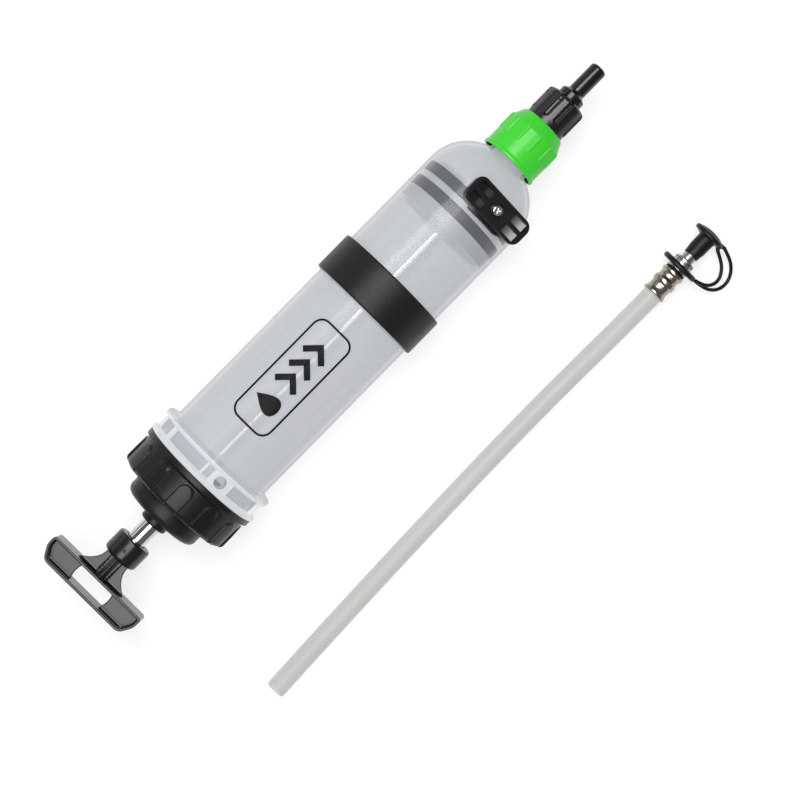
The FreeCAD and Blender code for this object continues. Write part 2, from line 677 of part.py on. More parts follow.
def ferrule():
    """Crimped sleeve: flared lip, two pressed waists between rounded bumps."""
    x = FERRULE_X
    return fitting_turned([
        (x + 0.1, 4.5), (x + 0.1, 9.3, 0.4), (x + 1.6, 9.3, 0.8), (x + 4.4, 8.2, 3.0), (x + 8.6, 8.2, 2.0),
        (x + 10.2, 9.2, 1.6), (x + 13.4, 9.2, 1.6), (x + 15.2, 8.2, 1.6), (x + 18.2, 8.2, 1.6),
        (x + 19.8, 9.2, 1.4), (x + 21.8, 9.2, 1.2), (x + FERRULE, 8.1, 0.4), (x + FERRULE, 4.5),
    ])


BLACK_RING_X = FERRULE_X + FERRULE
COUPLER_X = BLACK_RING_X + BLACK_RING
NIPPLE_X = COUPLER_X + COUPLER
CAP_X = NIPPLE_X + NIPPLE_SHOWING
DISC_X = CAP_X + CAP
TETHER_X = COUPLER_X + 0.8


def ferrule_ring():
    return fitting_turned([
        (BLACK_RING_X, 4.5), (BLACK_RING_X, 8.1, 0.5), (COUPLER_X, 8.1, 0.5), (COUPLER_X, 4.5)])


def coupler():
    """Collar with a stepped nipple; its tail runs back through the ring and the ferrule."""
    return fitting_turned([
        (FERRULE_X + 0.2, 3.0), (FERRULE_X + 0.2, 4.4), (COUPLER_X, 4.4), (COUPLER_X, COLLAR_R, 0.6),
        (NIPPLE_X, COLLAR_R, 1.0), (NIPPLE_X, NIPPLE_R, 0.5), (CAP_X + 15.0, NIPPLE_R, 1.0),
        (CAP_X + 15.0, 3.0),
    ])


def tether_ring():
    """Flat rubber ring round the collar with a short root for the two strands."""
    ring = fitting_turned([
        (TETHER_X, COLLAR_R + 0.05), (TETHER_X, TETHER_R, 2.0), (TETHER_X + TETHER_T, TETHER_R, 2.0),
        (TETHER_X + TETHER_T, COLLAR_R + 0.05)])
    return ring


def dust_cap():
    """Blind rubber cap with a tapered skirt over the nipple and a disc to pull it off by."""
    skirt_start, skirt_end = CAP_SKIRT_R
    return fitting_turned([
        (CAP_X, NIPPLE_R + FIT), (CAP_X, skirt_start, 0.3), (CAP_X + 3.5, skirt_start + 0.4, 4.0),
        (CAP_X + 6.0, skirt_end - 0.1, 4.0), (DISC_X - 1.5, skirt_end, 1.2),
        (DISC_X - 0.6, CAP_DISC_R, 1.0), (DISC_X + CAP_DISC - 1.8, CAP_DISC_R, 1.6),
        (DISC_X + CAP_DISC - 0.2, CAP_DISC_R - 5, 6.0), (DISC_X + CAP_DISC, 0),
        (CAP_X + 17.5, 0), (CAP_X + 17.5, NIPPLE_R + FIT),
    ])


def strand(points, name):
    return swept(points, STRAND_R, 0, name)


def main():
    os.makedirs("parts", exist_ok=True)
    pieces = {
        "barrel": barrel, "grip_band": grip_band, "bracket": bracket, "bracket_screw": bracket_screw,
        "end_plug": end_plug, "rod_bush": rod_bush, "rod_seal": rod_seal, "plug_o_ring": plug_o_ring,
        "end_ring_nut": end_ring_nut,
        "piston_rear": piston_rear, "seal_rear": lambda: seal(REAR_SEAL_X, -1),
        "seal_front": lambda: seal(FRONT_SEAL_X, 1), "piston_front": piston_front,
        "piston_washer": lambda: tube(WASHER_X, WASHER_T, WASHER_R, STUD_R, 0.5),
        "piston_nut": piston_nut, "rod": rod, "handle": handle, "handle_pin": handle_pin,
        "outlet_connector": outlet_connector, "outlet_gasket": outlet_gasket, "nozzle": nozzle,
        "nozzle_o_ring": nozzle_o_ring, "union_nut": union_nut,
        "hose": hose, "ferrule": ferrule, "ferrule_ring": ferrule_ring, "coupler": coupler,
        "tether_ring": tether_ring, "strap_outer": lambda: strand(OUTER_STRAND, "strap_outer"),
        "strap_inner": lambda: strand(INNER_STRAND, "strap_inner"), "dust_cap": dust_cap,
    }
    for name, make in pieces.items():
        save(name, make())


main()
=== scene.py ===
# %% [markdown]
# # A hand pump for moving workshop fluids
# The pump is a clear barrel with a piston in it, a T handle on a polished rod, a screwed green outlet and
# a loose hose with a crimped coupling. The CAD parts hold every size and every moving fit. Here they get
# their finishes, and the pieces whose looks depend on soft or finely moulded shapes are modelled again as
# surfaces, in the places that the CAD parts give.

# %% Load the fixed frame
import math

import bmesh
import bpy
import numpy as np
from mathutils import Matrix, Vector


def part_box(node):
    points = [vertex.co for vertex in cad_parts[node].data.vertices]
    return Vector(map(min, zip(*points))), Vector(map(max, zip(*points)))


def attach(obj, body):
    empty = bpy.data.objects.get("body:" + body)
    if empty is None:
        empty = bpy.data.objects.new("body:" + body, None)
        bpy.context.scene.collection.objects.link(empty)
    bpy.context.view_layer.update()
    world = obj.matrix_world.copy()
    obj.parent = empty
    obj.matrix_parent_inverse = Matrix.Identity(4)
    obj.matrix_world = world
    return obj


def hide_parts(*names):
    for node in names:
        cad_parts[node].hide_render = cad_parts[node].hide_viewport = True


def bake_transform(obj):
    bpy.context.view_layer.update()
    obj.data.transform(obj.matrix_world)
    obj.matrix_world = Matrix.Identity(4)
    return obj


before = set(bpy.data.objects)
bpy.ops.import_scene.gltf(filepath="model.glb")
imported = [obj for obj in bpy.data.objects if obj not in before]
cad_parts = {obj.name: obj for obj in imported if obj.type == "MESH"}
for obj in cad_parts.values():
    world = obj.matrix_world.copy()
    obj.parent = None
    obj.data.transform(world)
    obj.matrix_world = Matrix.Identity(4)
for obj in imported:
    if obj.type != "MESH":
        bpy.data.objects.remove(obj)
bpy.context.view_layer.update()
MM = 0.001

# %% [markdown]
# ## Where things are
# Nearly every piece is turned about one line, the pump's axis, and the fittings of the hose about another.
# Both lines are read from round CAD parts, so nothing has to be fitted by eye afterwards.

# %% Axes and stations


def middle(node):
    """Centre of a CAD node's box, in millimetres."""
    low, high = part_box(node)
    return [(a + b) / 2 / MM for a, b in zip(low, high)]


def ends(node):
    """Lowest and highest x of a CAD node, in millimetres."""
    low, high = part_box(node)
    return low[0] / MM, high[0] / MM


def radius_of(node):
    """Half of a round CAD node's height, in millimetres."""
    low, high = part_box(node)
    return (high[2] - low[2]) / 2 / MM


AXIS = (0.0, middle("rod")[2])
FITTING = tuple(middle("ferrule")[1:])
print("pump axis (y, z):", AXIS, " fitting axis (y, z):", FITTING)

# %% [markdown]
# ## Camera
# The pump is looked at from straight above, from about 1.4 m, and the picture is turned so that the barrel
# runs from the upper left to the lower right. A long lens keeps the round ends nearly flat.

# %% Camera
CAMERA_PLACE = (-0.0055, -0.065, 1.407)
CAMERA_TURN = math.radians(-45.5)
LENS = 84.4

camera_data = bpy.data.cameras.new("camera")
camera_data.lens = LENS
camera_data.sensor_width = 36
camera = bpy.data.objects.new("camera", camera_data)
camera.location = CAMERA_PLACE
camera.rotation_euler = (0, 0, CAMERA_TURN)
bpy.context.scene.collection.objects.link(camera)
bpy.context.scene.camera = camera
print("camera height above the axis:", round(CAMERA_PLACE[2] - AXIS[1] * MM, 4), "m")

# %% [markdown]
# ## Surfaces from grids
# Every new piece is one or more closed grids of points. A grid has rows and columns, and four neighbours
# make a face. Rows that close on themselves make a ring, and a row on the axis shrinks to a pole, which is
# merged into one point so that the skin stays closed. Three ways fill a grid: turn a profile about an axis,
# carry a section along a path, or give the point for each pair of parameters by a formula.

# %% Profiles with rounded corners


def rounded(corners, step=9.0):
    """Closed outline through corners (u, v) or (u, v, radius).
    A rounded corner becomes the arc that touches both its sides. Its centre lies on the corner's bisector, at
    radius / sin(half the corner's angle), and its points turn evenly from one touching point to the other."""
    flat = [np.array(corner[:2], float) for corner in corners]
    pieces = []
    for i, corner in enumerate(corners):
        here = flat[i]
        radius = corner[2] if len(corner) > 2 else 0.0
        if radius <= 0:
            pieces.append(here[None])
            continue
        back = flat[i - 1] - here
        ahead = flat[(i + 1) % len(flat)] - here
        back /= np.linalg.norm(back)
        ahead /= np.linalg.norm(ahead)
        half = math.acos(np.clip(back @ ahead, -1, 1)) / 2
        bisector = (back + ahead) / np.linalg.norm(back + ahead)
        centre = here + bisector * radius / math.sin(half)
        first = here + back * radius / math.tan(half) - centre
        last = here + ahead * radius / math.tan(half) - centre
        turn = math.pi - 2 * half
        count = max(2, math.ceil(math.degrees(turn) / step))
        t = np.linspace(0, 1, count + 1)[:, None]
        pieces.append(centre + (np.sin((1 - t) * turn) * first + np.sin(t * turn) * last) / math.sin(turn))
    return np.vstack(pieces)


def refined(outline, longest):
    """The same outline with its long runs cut into steps no longer than longest."""
    follow = np.roll(outline, -1, axis=0)
    counts = np.maximum(1, np.ceil(np.linalg.norm(follow - outline, axis=1) / longest)).astype(int)
    start = np.repeat(outline, counts, axis=0)
    step = np.repeat((follow - outline) / counts[:, None], counts, axis=0)
    place = np.arange(counts.sum()) - np.repeat(np.cumsum(counts) - counts, counts)
    return start + step * place[:, None]


# %% Grids


def turned(outline, axis=AXIS, columns=160, swell=None):
    """Grid of a turned shape, in millimetres.
    Outline point (x, r) at angle t from the top towards -Y goes to (x, y0 - r sin t, z0 + r cos t).
    columns is a count or the angles themselves, and swell(x, r, t) is added to r."""
    angles = np.arange(columns) * 2 * math.pi / columns if np.isscalar(columns) else columns
    x, t = np.meshgrid(outline[:, 0], angles, indexing="ij")
    r = np.repeat(outline[:, 1:2], len(angles), axis=1)
    if swell is not None:
        r = r + swell(x, r, t)
    return np.stack([x, axis[0] - r * np.sin(t), axis[1] + r * np.cos(t)], axis=-1)


def carried(section, path, scale=None, up=(0, 0, 1), loop=False):
    """Grid of a section carried along a path, in millimetres.
    At each point of the path the section's (u, v) goes along side = up x tangent and along tangent x side."""
    tangent = np.roll(path, -1, axis=0) - np.roll(path, 1, axis=0) if loop else np.gradient(path, axis=0)
    tangent /= np.linalg.norm(tangent, axis=1)[:, None]
    side = np.cross(np.array(up, float), tangent)
    side /= np.linalg.norm(side, axis=1)[:, None]
    crown = np.cross(tangent, side)
    size = np.ones(len(path)) if scale is None else scale
    u = section[None, :, 0:1] * size[:, None, None]
    v = section[None, :, 1:2] * size[:, None, None]
    return path[:, None, :] + u * side[:, None, :] + v * crown[:, None, :]


def capped(grid):
    """The grid with a first and a last row shrunk to the middle of its end rows, which closes its ends."""
    first = np.repeat(grid[:1].mean(axis=1, keepdims=True), grid.shape[1], axis=1)
    last = np.repeat(grid[-1:].mean(axis=1, keepdims=True), grid.shape[1], axis=1)
    return np.vstack([first, grid, last])


# %% From grids to a piece


def faces_of(rows, columns, first, ring_rows):
    """Corner numbers of the faces of a grid whose points start at first; its columns close in a ring."""
    index = first + np.arange(rows * columns).reshape(rows, columns)
    if ring_rows:
        index = np.vstack([index, index[:1]])
    index = np.hstack([index, index[:, :1]])
    return np.stack([index[:-1, :-1], index[:-1, 1:], index[1:, 1:], index[1:, :-1]], axis=-1).reshape(-1, 4)


def skin_of(name, grids):
    """A mesh from closed grids in millimetres. A grid whose first and last rows are poles is open along its
    rows, and any other one closes in a ring. Doubles are merged, then normals are turned outwards."""
    points = []
    faces = []
    total = 0
    for grid in grids:
        rows, columns = grid.shape[:2]
        poles = np.ptp(grid[0], axis=0).max() < 1e-6 and np.ptp(grid[-1], axis=0).max() < 1e-6
        points.append(grid.reshape(-1, 3) * MM)
        faces.append(faces_of(rows, columns, total, not poles))
        total += rows * columns
    mesh = bpy.data.meshes.new(name)
    mesh.from_pydata(np.vstack(points).tolist(), [], np.vstack(faces).tolist())
    work = bmesh.new()
    work.from_mesh(mesh)
    bmesh.ops.remove_doubles(work, verts=work.verts, dist=1e-3 * MM)
    bmesh.ops.recalc_face_normals(work, faces=work.faces)
    work.to_mesh(mesh)
    work.free()
    return mesh


def placed(name, mesh):
    """A new object at the origin that shows the mesh."""
    made = bpy.data.objects.new(name, mesh)
    bpy.context.scene.collection.objects.link(made)
    return made


def drilled(mesh, cutters, operation="DIFFERENCE"):
    """The mesh with each cutter's shape taken out of it, or joined to it by an exact union."""
    for cutter in cutters:
        work = placed("work", mesh)
        tool = placed("tool", cutter)
        cut = work.modifiers.new("cut", "BOOLEAN")
        cut.operation = operation
        cut.solver = "EXACT"
        cut.object = tool
        bpy.context.view_layer.update()
        depsgraph = bpy.context.evaluated_depsgraph_get()
        mesh = bpy.data.meshes.new_from_object(work.evaluated_get(depsgraph))
        bpy.data.objects.remove(work)
        bpy.data.objects.remove(tool)
    return mesh


def piece(name, skin, finishes, body=None, replaces=(), crease=35.0, paint=None):
    """An object from grids or a mesh, smooth except at edges sharper than crease. With several finishes,
    paint(centres of the faces in millimetres) gives each face the number of its finish."""
    mesh = skin_of(name, skin) if isinstance(skin, list) else skin
    mesh.name = name
    mesh.materials.clear()
    for finish in finishes if isinstance(finishes, list) else [finishes]:
        mesh.materials.append(finish)
    if paint is not None:
        centres = np.empty(len(mesh.polygons) * 3)
        mesh.polygons.foreach_get("center", centres)
        mesh.polygons.foreach_set("material_index", paint(centres.reshape(-1, 3) / MM).astype(np.int32))
    mesh.shade_smooth()
    mesh.set_sharp_from_angle(angle=math.radians(crease))
    made = placed(name, mesh)
    if body:
        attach(made, body)
    if replaces:
        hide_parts(*replaces)
    print(f"{name}: {len(mesh.vertices)} points, {len(mesh.polygons)} faces")
    return made


def smooth_step(value, width):
    """0 below 0, 1 above width, and 3 q^2 - 2 q^3 between, with q = value / width."""
    q = np.clip(value / width, 0, 1)
    return q * q * (3 - 2 * q)


# %% [markdown]
# ## Shared surface effects
# Moulded plastic, rubber and metal all show a few of the same things: a fine grain, uneven gloss from
# handling, lighter worn edges, and a little dust on what faces up. Each is a node group that is made once.
# A group gives out only masks, heights and values. The shader itself stays in each material, where its
# constant settings can be read.

# %% Helpers for node trees


def add(tree, kind, inputs=None, **settings):
    """A node with its settings made and its inputs either linked to a socket or set to a value."""
    made = tree.nodes.new(kind)
    for name, value in settings.items():
        setattr(made, name, value)
    for name, value in (inputs or {}).items():
        if isinstance(value, bpy.types.NodeSocket):
            tree.links.new(value, made.inputs[name])
        else:
            made.inputs[name].default_value = value
    return made


def new_group(name, inputs, outputs):
    """An empty node group with named float or colour sockets, and its input and output nodes."""
    group = bpy.data.node_groups.new(name, "ShaderNodeTree")
    for label, value in inputs.items():
        kind = "NodeSocketFloat" if np.isscalar(value) else "NodeSocketColor"
        socket = group.interface.new_socket(label, in_out="INPUT", socket_type=kind)
        socket.default_value = value
    for label, kind in outputs.items():
        group.interface.new_socket(label, in_out="OUTPUT", socket_type=kind)
    return group, group.nodes.new("NodeGroupInput"), group.nodes.new("NodeGroupOutput")


def multiply(tree, a, b):
    return add(tree, "ShaderNodeMath", {0: a, 1: b}, operation="MULTIPLY").outputs[0]


# %% Fine grain and uneven gloss


def grain_group():
    """Height = 0.6 fine noise + 0.4 coarse noise, in object space. Gloss = base + spread * broad noise."""
    group, given, out = new_group(
        "moulded_grain",
        {"Grain per metre": 1600.0, "Base roughness": 0.4, "Spread": 0.1, "Patch per metre": 45.0},
        {"Height": "NodeSocketFloat", "Roughness": "NodeSocketFloat", "Patch": "NodeSocketFloat"})
    place = add(group, "ShaderNodeTexCoord").outputs["Object"]
    fine = add(group, "ShaderNodeTexNoise",
               {"Vector": place, "Scale": given.outputs["Grain per metre"], "Detail": 2.0, "Roughness": 0.55})
    broad = add(group, "ShaderNodeTexNoise",
                {"Vector": place, "Scale": given.outputs["Patch per metre"], "Detail": 4.0, "Roughness": 0.6})
    centred = add(group, "ShaderNodeMath", {0: broad.outputs[0], 1: 0.5}, operation="SUBTRACT").outputs[0]
    uneven = multiply(group, centred, given.outputs["Spread"])
    gloss = add(group, "ShaderNodeMath", {0: uneven, 1: given.outputs["Base roughness"]}, operation="ADD",
                use_clamp=True)
    coarse = multiply(group, broad.outputs[0], 0.4)
    height = add(group, "ShaderNodeMath", {0: fine.outputs[0], 1: 0.6, 2: coarse}, operation="MULTIPLY_ADD")
    group.links.new(height.outputs[0], out.inputs["Height"])
    group.links.new(gloss.outputs[0], out.inputs["Roughness"])
    group.links.new(broad.outputs[0], out.inputs["Patch"])
    return group


GRAIN = grain_group()

# %% Worn edges


def wear_group():
    """Edge mask = how far the surface's pointiness is above its flat value of 0.5, broken up by noise."""
    group, given, out = new_group(
        "edge_wear",
        {"Colour": (0.03, 0.03, 0.03, 1), "Worn colour": (0.2, 0.2, 0.2, 1), "Amount": 0.5},
        {"Colour": "NodeSocketColor", "Mask": "NodeSocketFloat"})
    place = add(group, "ShaderNodeTexCoord").outputs["Object"]
    point = add(group, "ShaderNodeNewGeometry").outputs["Pointiness"]
    edge = add(group, "ShaderNodeMapRange",
               {"Value": point, "From Min": 0.52, "From Max": 0.62, "To Min": 0.0, "To Max": 1.0})
    patches = add(group, "ShaderNodeTexNoise", {"Vector": place, "Scale": 260.0, "Detail": 3.0})
    broken = add(group, "ShaderNodeMapRange",
                 {"Value": patches.outputs[0], "From Min": 0.4, "From Max": 0.62, "To Min": 0.15,
                  "To Max": 1.0})
    mask = multiply(group, multiply(group, edge.outputs[0], broken.outputs[0]), given.outputs["Amount"])
    mixed = add(group, "ShaderNodeMix",
                {"Factor": mask, 6: given.outputs["Colour"], 7: given.outputs["Worn colour"]},
                data_type="RGBA")
    group.links.new(mixed.outputs[2], out.inputs["Colour"])
    group.links.new(mask, out.inputs["Mask"])
    return group


WEAR = wear_group()

# %% Dust on what faces up


def dust_group():
    """Dust mask = (upward part of the normal)^2 times speckled noise times amount."""
    group, given, out = new_group(
        "settled_dust",
        {"Colour": (0.03, 0.03, 0.03, 1), "Dust colour": (0.35, 0.34, 0.32, 1), "Amount": 0.1},
        {"Colour": "NodeSocketColor", "Mask": "NodeSocketFloat"})
    place = add(group, "ShaderNodeTexCoord").outputs["Object"]
    normal = add(group, "ShaderNodeNewGeometry").outputs["Normal"]
    upward = add(group, "ShaderNodeSeparateXYZ", {"Vector": normal}).outputs["Z"]
    facing = add(group, "ShaderNodeMath", {0: upward, 1: 0.0}, operation="MAXIMUM").outputs[0]
    square = multiply(group, facing, facing)
    specks = add(group, "ShaderNodeTexNoise", {"Vector": place, "Scale": 900.0, "Detail": 4.0})
    seen = add(group, "ShaderNodeMapRange",
               {"Value": specks.outputs[0], "From Min": 0.45, "From Max": 0.75, "To Min": 0.0, "To Max": 1.0})
    mask = multiply(group, multiply(group, square, seen.outputs[0]), given.outputs["Amount"])
    mixed = add(group, "ShaderNodeMix",
                {"Factor": mask, 6: given.outputs["Colour"], 7: given.outputs["Dust colour"]},
                data_type="RGBA")
    group.links.new(mixed.outputs[2], out.inputs["Colour"])
    group.links.new(mask, out.inputs["Mask"])
    return group


DUST = dust_group()

# %% Lathe lines


def lathe_group():
    """Height of the fine rings that a lathe or a belt leaves: noise that changes fast along X only."""
    group, given, out = new_group(
        "turning_lines",
        {"Lines per metre": 6000.0},
        {"Height": "NodeSocketFloat"})
    place = add(group, "ShaderNodeTexCoord").outputs["Object"]
    along = add(group, "ShaderNodeSeparateXYZ", {"Vector": place}).outputs["X"]
    scaled = multiply(group, along, given.outputs["Lines per metre"])
    lines = add(group, "ShaderNodeTexNoise", {"W": scaled, "Scale": 1.0, "Detail": 2.0},
                noise_dimensions="1D")
    group.links.new(lines.outputs[0], out.inputs["Height"])
    return group


LINES = lathe_group()

# %% [markdown]
# ## Finishes
# One function makes every hard or soft opaque finish from a few numbers: its colour, how glossy it is, how
# deep its grain is, how much its edges are worn and how much dust lies on it. Metals, the clear barrel and
# the hose get functions of their own, because light does something else in them.

# %% Moulded plastic and rubber


def linear(red, green, blue):
    """A colour given as it looks on a screen, 0 to 255, in the linear values that shading uses."""
    share = np.array([red, green, blue]) / 255
    low = share / 12.92
    high = ((share + 0.055) / 1.055) ** 2.4
    return (*np.where(share <= 0.04045, low, high).tolist(), 1.0)


def use_group(tree, group, inputs):
    return add(tree, "ShaderNodeGroup", inputs, node_tree=group).outputs


def moulded(name, colour, roughness, grain=1600.0, depth=0.02, spread=0.12, worn=None, wear=0.4, dust=0.08,
            coat=0.0, specular=0.5):
    """Opaque moulded finish: grain as bump, patchy gloss, worn edges, and dust on what faces up."""
    finish = bpy.data.materials.new(name)
    finish.use_nodes = True
    tree = finish.node_tree
    shader = tree.nodes["Principled BSDF"]
    texture = use_group(tree, GRAIN,
                        {"Grain per metre": grain, "Base roughness": roughness, "Spread": spread})
    worn_colour = worn or tuple(min(1.0, c * 3 + 0.03) for c in colour[:3]) + (1.0,)
    edge = use_group(tree, WEAR, {"Colour": colour, "Worn colour": worn_colour, "Amount": wear})
    dusted = use_group(tree, DUST, {"Colour": edge["Colour"], "Amount": dust})
    bump = add(tree, "ShaderNodeBump", {"Height": texture["Height"], "Strength": 1.0, "Distance": depth * MM})
    tree.links.new(dusted["Colour"], shader.inputs["Base Color"])
    tree.links.new(texture["Roughness"], shader.inputs["Roughness"])
    tree.links.new(bump.outputs[0], shader.inputs["Normal"])
    shader.inputs["Specular IOR Level"].default_value = specular
    shader.inputs["Coat Weight"].default_value = coat
    shader.inputs["Coat Roughness"].default_value = 0.12
    return finish


HANDLE_PLASTIC = moulded("handle_plastic", linear(20, 20, 20), 0.24, depth=0.0008, spread=0.05, wear=0.2,
                         dust=0.02, specular=0.52)
NUT_PLASTIC = moulded("nut_plastic", linear(22, 22, 22), 0.32, depth=0.008, spread=0.1, wear=0.25,
                      dust=0.03, specular=0.26)
PLUG_PLASTIC = moulded("plug_plastic", linear(26, 26, 26), 0.36, depth=0.008, spread=0.1, wear=0.25,
                       dust=0.03, specular=0.24)
BAND_PLASTIC = moulded("band_plastic", linear(24, 24, 24), 0.42, grain=2200.0, depth=0.01, wear=0.2,
                       dust=0.03, specular=0.24)
BRACKET_PLASTIC = moulded("bracket_plastic", linear(10, 10, 10), 0.27, depth=0.003, wear=0.25, dust=0.02,
                          specular=0.8)
CONNECTOR_PLASTIC = moulded("connector_plastic", linear(18, 18, 18), 0.26, depth=0.003, wear=0.3, dust=0.03,
                            specular=0.55)
NOZZLE_PLASTIC = moulded("nozzle_plastic", linear(18, 18, 18), 0.18, depth=0.003, wear=0.2, dust=0.02)
GREEN_PLASTIC = moulded("green_plastic", linear(66, 208, 52), 0.3, depth=0.004, spread=0.08,
                        worn=linear(150, 240, 130), wear=0.25, dust=0.02, specular=0.3)
# A dark green copy of the green finish: painted shade for the union nut's mouth and bore.
GREEN_PAINTED_SHADE = moulded("green_painted_shade", linear(12, 34, 12), 0.6, depth=0.004, wear=0.1, dust=0.0, specular=0.1)
PISTON_PLASTIC = moulded("piston_plastic", linear(176, 179, 182), 0.45, depth=0.01, wear=0.1,
                         worn=linear(190, 192, 194), dust=0.0)
BLACK_RUBBER = moulded("black_rubber", linear(16, 16, 16), 0.4, grain=2600.0, depth=0.006, spread=0.15,
                       wear=0.2, dust=0.04, specular=0.25)
SEAL_RUBBER = moulded("seal_rubber", linear(36, 42, 50), 0.45, grain=2600.0, depth=0.01, wear=0.2, dust=0.0)

# %% [markdown]
# Steel is a full metal. What tells polished chrome from zinc plate or nickel is how sharp its reflections
# are, a slight tint, and the marks that its making leaves: belt lines along the rod, lathe rings on the
# coupling, and a stained look where the sleeve was pressed.

# %% Steel


def steel(name, colour, stain, roughness, lines=6000.0, depth=0.003, spread=0.12, stained=0.35):
    """Metal with lathe lines as bump and a broad stain that mixes a second colour in."""
    finish = bpy.data.materials.new(name)
    finish.use_nodes = True
    tree = finish.node_tree
    shader = tree.nodes["Principled BSDF"]
    texture = use_group(tree, GRAIN, {"Grain per metre": 3000.0, "Base roughness": roughness,
                                      "Spread": spread, "Patch per metre": 120.0})
    rings = use_group(tree, LINES, {"Lines per metre": lines})
    cloud = add(tree, "ShaderNodeMapRange",
                {"Value": texture["Patch"], "From Min": 0.4, "From Max": 0.7, "To Min": 0.0,
                 "To Max": stained})
    mixed = add(tree, "ShaderNodeMix", {"Factor": cloud.outputs[0], 6: colour, 7: stain}, data_type="RGBA")
    bump = add(tree, "ShaderNodeBump", {"Height": rings["Height"], "Strength": 1.0, "Distance": depth * MM})
    tree.links.new(mixed.outputs[2], shader.inputs["Base Color"])
    tree.links.new(texture["Roughness"], shader.inputs["Roughness"])
    tree.links.new(bump.outputs[0], shader.inputs["Normal"])
    shader.inputs["Metallic"].default_value = 1.0
    return finish


POLISHED_STEEL = steel("polished_steel", linear(206, 207, 209), linear(188, 189, 193), 0.08, depth=0.0006)
BRIGHT_STEEL = steel("bright_steel", linear(228, 228, 226), linear(196, 194, 188), 0.18, depth=0.001)
BLACKED_STEEL = steel("blacked_steel", linear(40, 40, 42), linear(60, 56, 52), 0.35, depth=0.002)
TURNED_STEEL = steel("turned_steel", linear(176, 177, 181), linear(150, 150, 153), 0.28, depth=0.002)
CRIMPED_STEEL = steel("crimped_steel", linear(176, 167, 160), linear(126, 110, 98), 0.24, depth=0.0015,
                      stained=0.5)

# %% [markdown]
# The barrel is milky polypropylene. What touches its wall shows through clearly, and what lies deeper fades
# into white. Real scattering inside the wall would be slow and noisy, so the wall has two skins instead:
# each lets a fixed share of the light straight through and adds its own pale colour, and the inner one,
# which stands for the milky depth of the wall, lets little through. Each skin also glows: part of its colour
# is given off as emission, a painted glow that stands in for light scattered inside the wall. The seals press
# into the inner skin, so only the outer skin covers them. A clear gloss, mixed in by Fresnel, lies over the
# outer skin at full strength.

# %% Clear barrel and hose


GLOSS_INDEX = 1.26
GLOSS_LIMIT = 0.08


def milky(name, colour, deep, alpha, roughness, glow, gloss=None, along=14.0, around=60.0, depth=0.01):
    """Pale see-through plastic: flow streaks along X tint the colour and change how much it lets through.
    glow is the share of the colour that is given off as emission, a painted glow standing in for light that
    has scattered about inside the wall, and the wall covers more where it is seen at a slant, because the
    line of sight through it is longer."""
    finish = bpy.data.materials.new(name)
    finish.use_nodes = True
    tree = finish.node_tree
    shader = tree.nodes["Principled BSDF"]
    place = add(tree, "ShaderNodeTexCoord").outputs["Object"]
    stretched = add(tree, "ShaderNodeMapping", {"Vector": place, "Scale": (along, around, around)}).outputs[0]
    streaks = add(tree, "ShaderNodeTexNoise", {"Vector": stretched, "Scale": 1.0, "Detail": 4.0}).outputs[0]
    texture = use_group(tree, GRAIN, {"Grain per metre": 1200.0, "Base roughness": roughness, "Spread": 0.1})
    tint = add(tree, "ShaderNodeMix", {"Factor": streaks, 6: colour, 7: deep}, data_type="RGBA").outputs[2]
    dim = [tuple(c * (1 - glow) for c in pale[:3]) + (1.0,) for pale in (colour, deep)]
    body = add(tree, "ShaderNodeMix", {"Factor": streaks, 6: dim[0], 7: dim[1]}, data_type="RGBA").outputs[2]
    veil = add(tree, "ShaderNodeMapRange",
               {"Value": streaks, "From Min": 0.3, "From Max": 0.7, "To Min": alpha * 0.95,
                "To Max": alpha * 1.05})
    bump = add(tree, "ShaderNodeBump", {"Height": texture["Height"], "Strength": 1.0, "Distance": depth * MM})
    tree.links.new(body, shader.inputs["Base Color"])
    tree.links.new(tint, shader.inputs["Emission Color"])
    slant = add(tree, "ShaderNodeLayerWeight", {"Blend": 0.5}).outputs["Facing"]
    longer = add(tree, "ShaderNodeMapRange",
                 {"Value": slant, "From Min": 0.45, "From Max": 0.85, "To Min": 0.0,
                  "To Max": 0.5}).outputs[0]
    cover = add(tree, "ShaderNodeMath", {0: veil.outputs[0], 1: longer}, operation="ADD", use_clamp=True)
    tree.links.new(cover.outputs[0], shader.inputs["Alpha"])
    tree.links.new(texture["Roughness"], shader.inputs["Roughness"])
    tree.links.new(bump.outputs[0], shader.inputs["Normal"])
    shader.inputs["Emission Strength"].default_value = glow
    if gloss is not None:
        shader.inputs["Specular IOR Level"].default_value = 0.0
        fresnel = add(tree, "ShaderNodeFresnel", {"IOR": GLOSS_INDEX, "Normal": bump.outputs[0]}).outputs[0]
        share = add(tree, "ShaderNodeMath", {0: fresnel, 1: GLOSS_LIMIT}, operation="MINIMUM").outputs[0]
        shine = add(tree, "ShaderNodeBsdfGlossy", {"Roughness": gloss, "Normal": bump.outputs[0]})
        both = add(tree, "ShaderNodeMixShader", {0: share, 1: shader.outputs[0], 2: shine.outputs[0]})
        tree.links.new(both.outputs[0], tree.nodes["Material Output"].inputs["Surface"])
    return finish


# Every milky finish below, the hose's too, glows with part of its colour: a painted glow, given off as
# emission, that stands in for light scattered inside the plastic.
BARREL_OUTSIDE = milky("barrel_outside", linear(206, 208, 211), linear(197, 200, 205), 0.17, 0.4, 0.5,
                       gloss=0.13)
BARREL_INSIDE = milky("barrel_inside", linear(202, 204, 208), linear(192, 196, 203), 0.64, 0.5, 0.5)
BARREL_THICK = milky("barrel_thick", linear(236, 238, 239), linear(228, 231, 234), 0.74, 0.4, 0.6,
                     gloss=0.16)
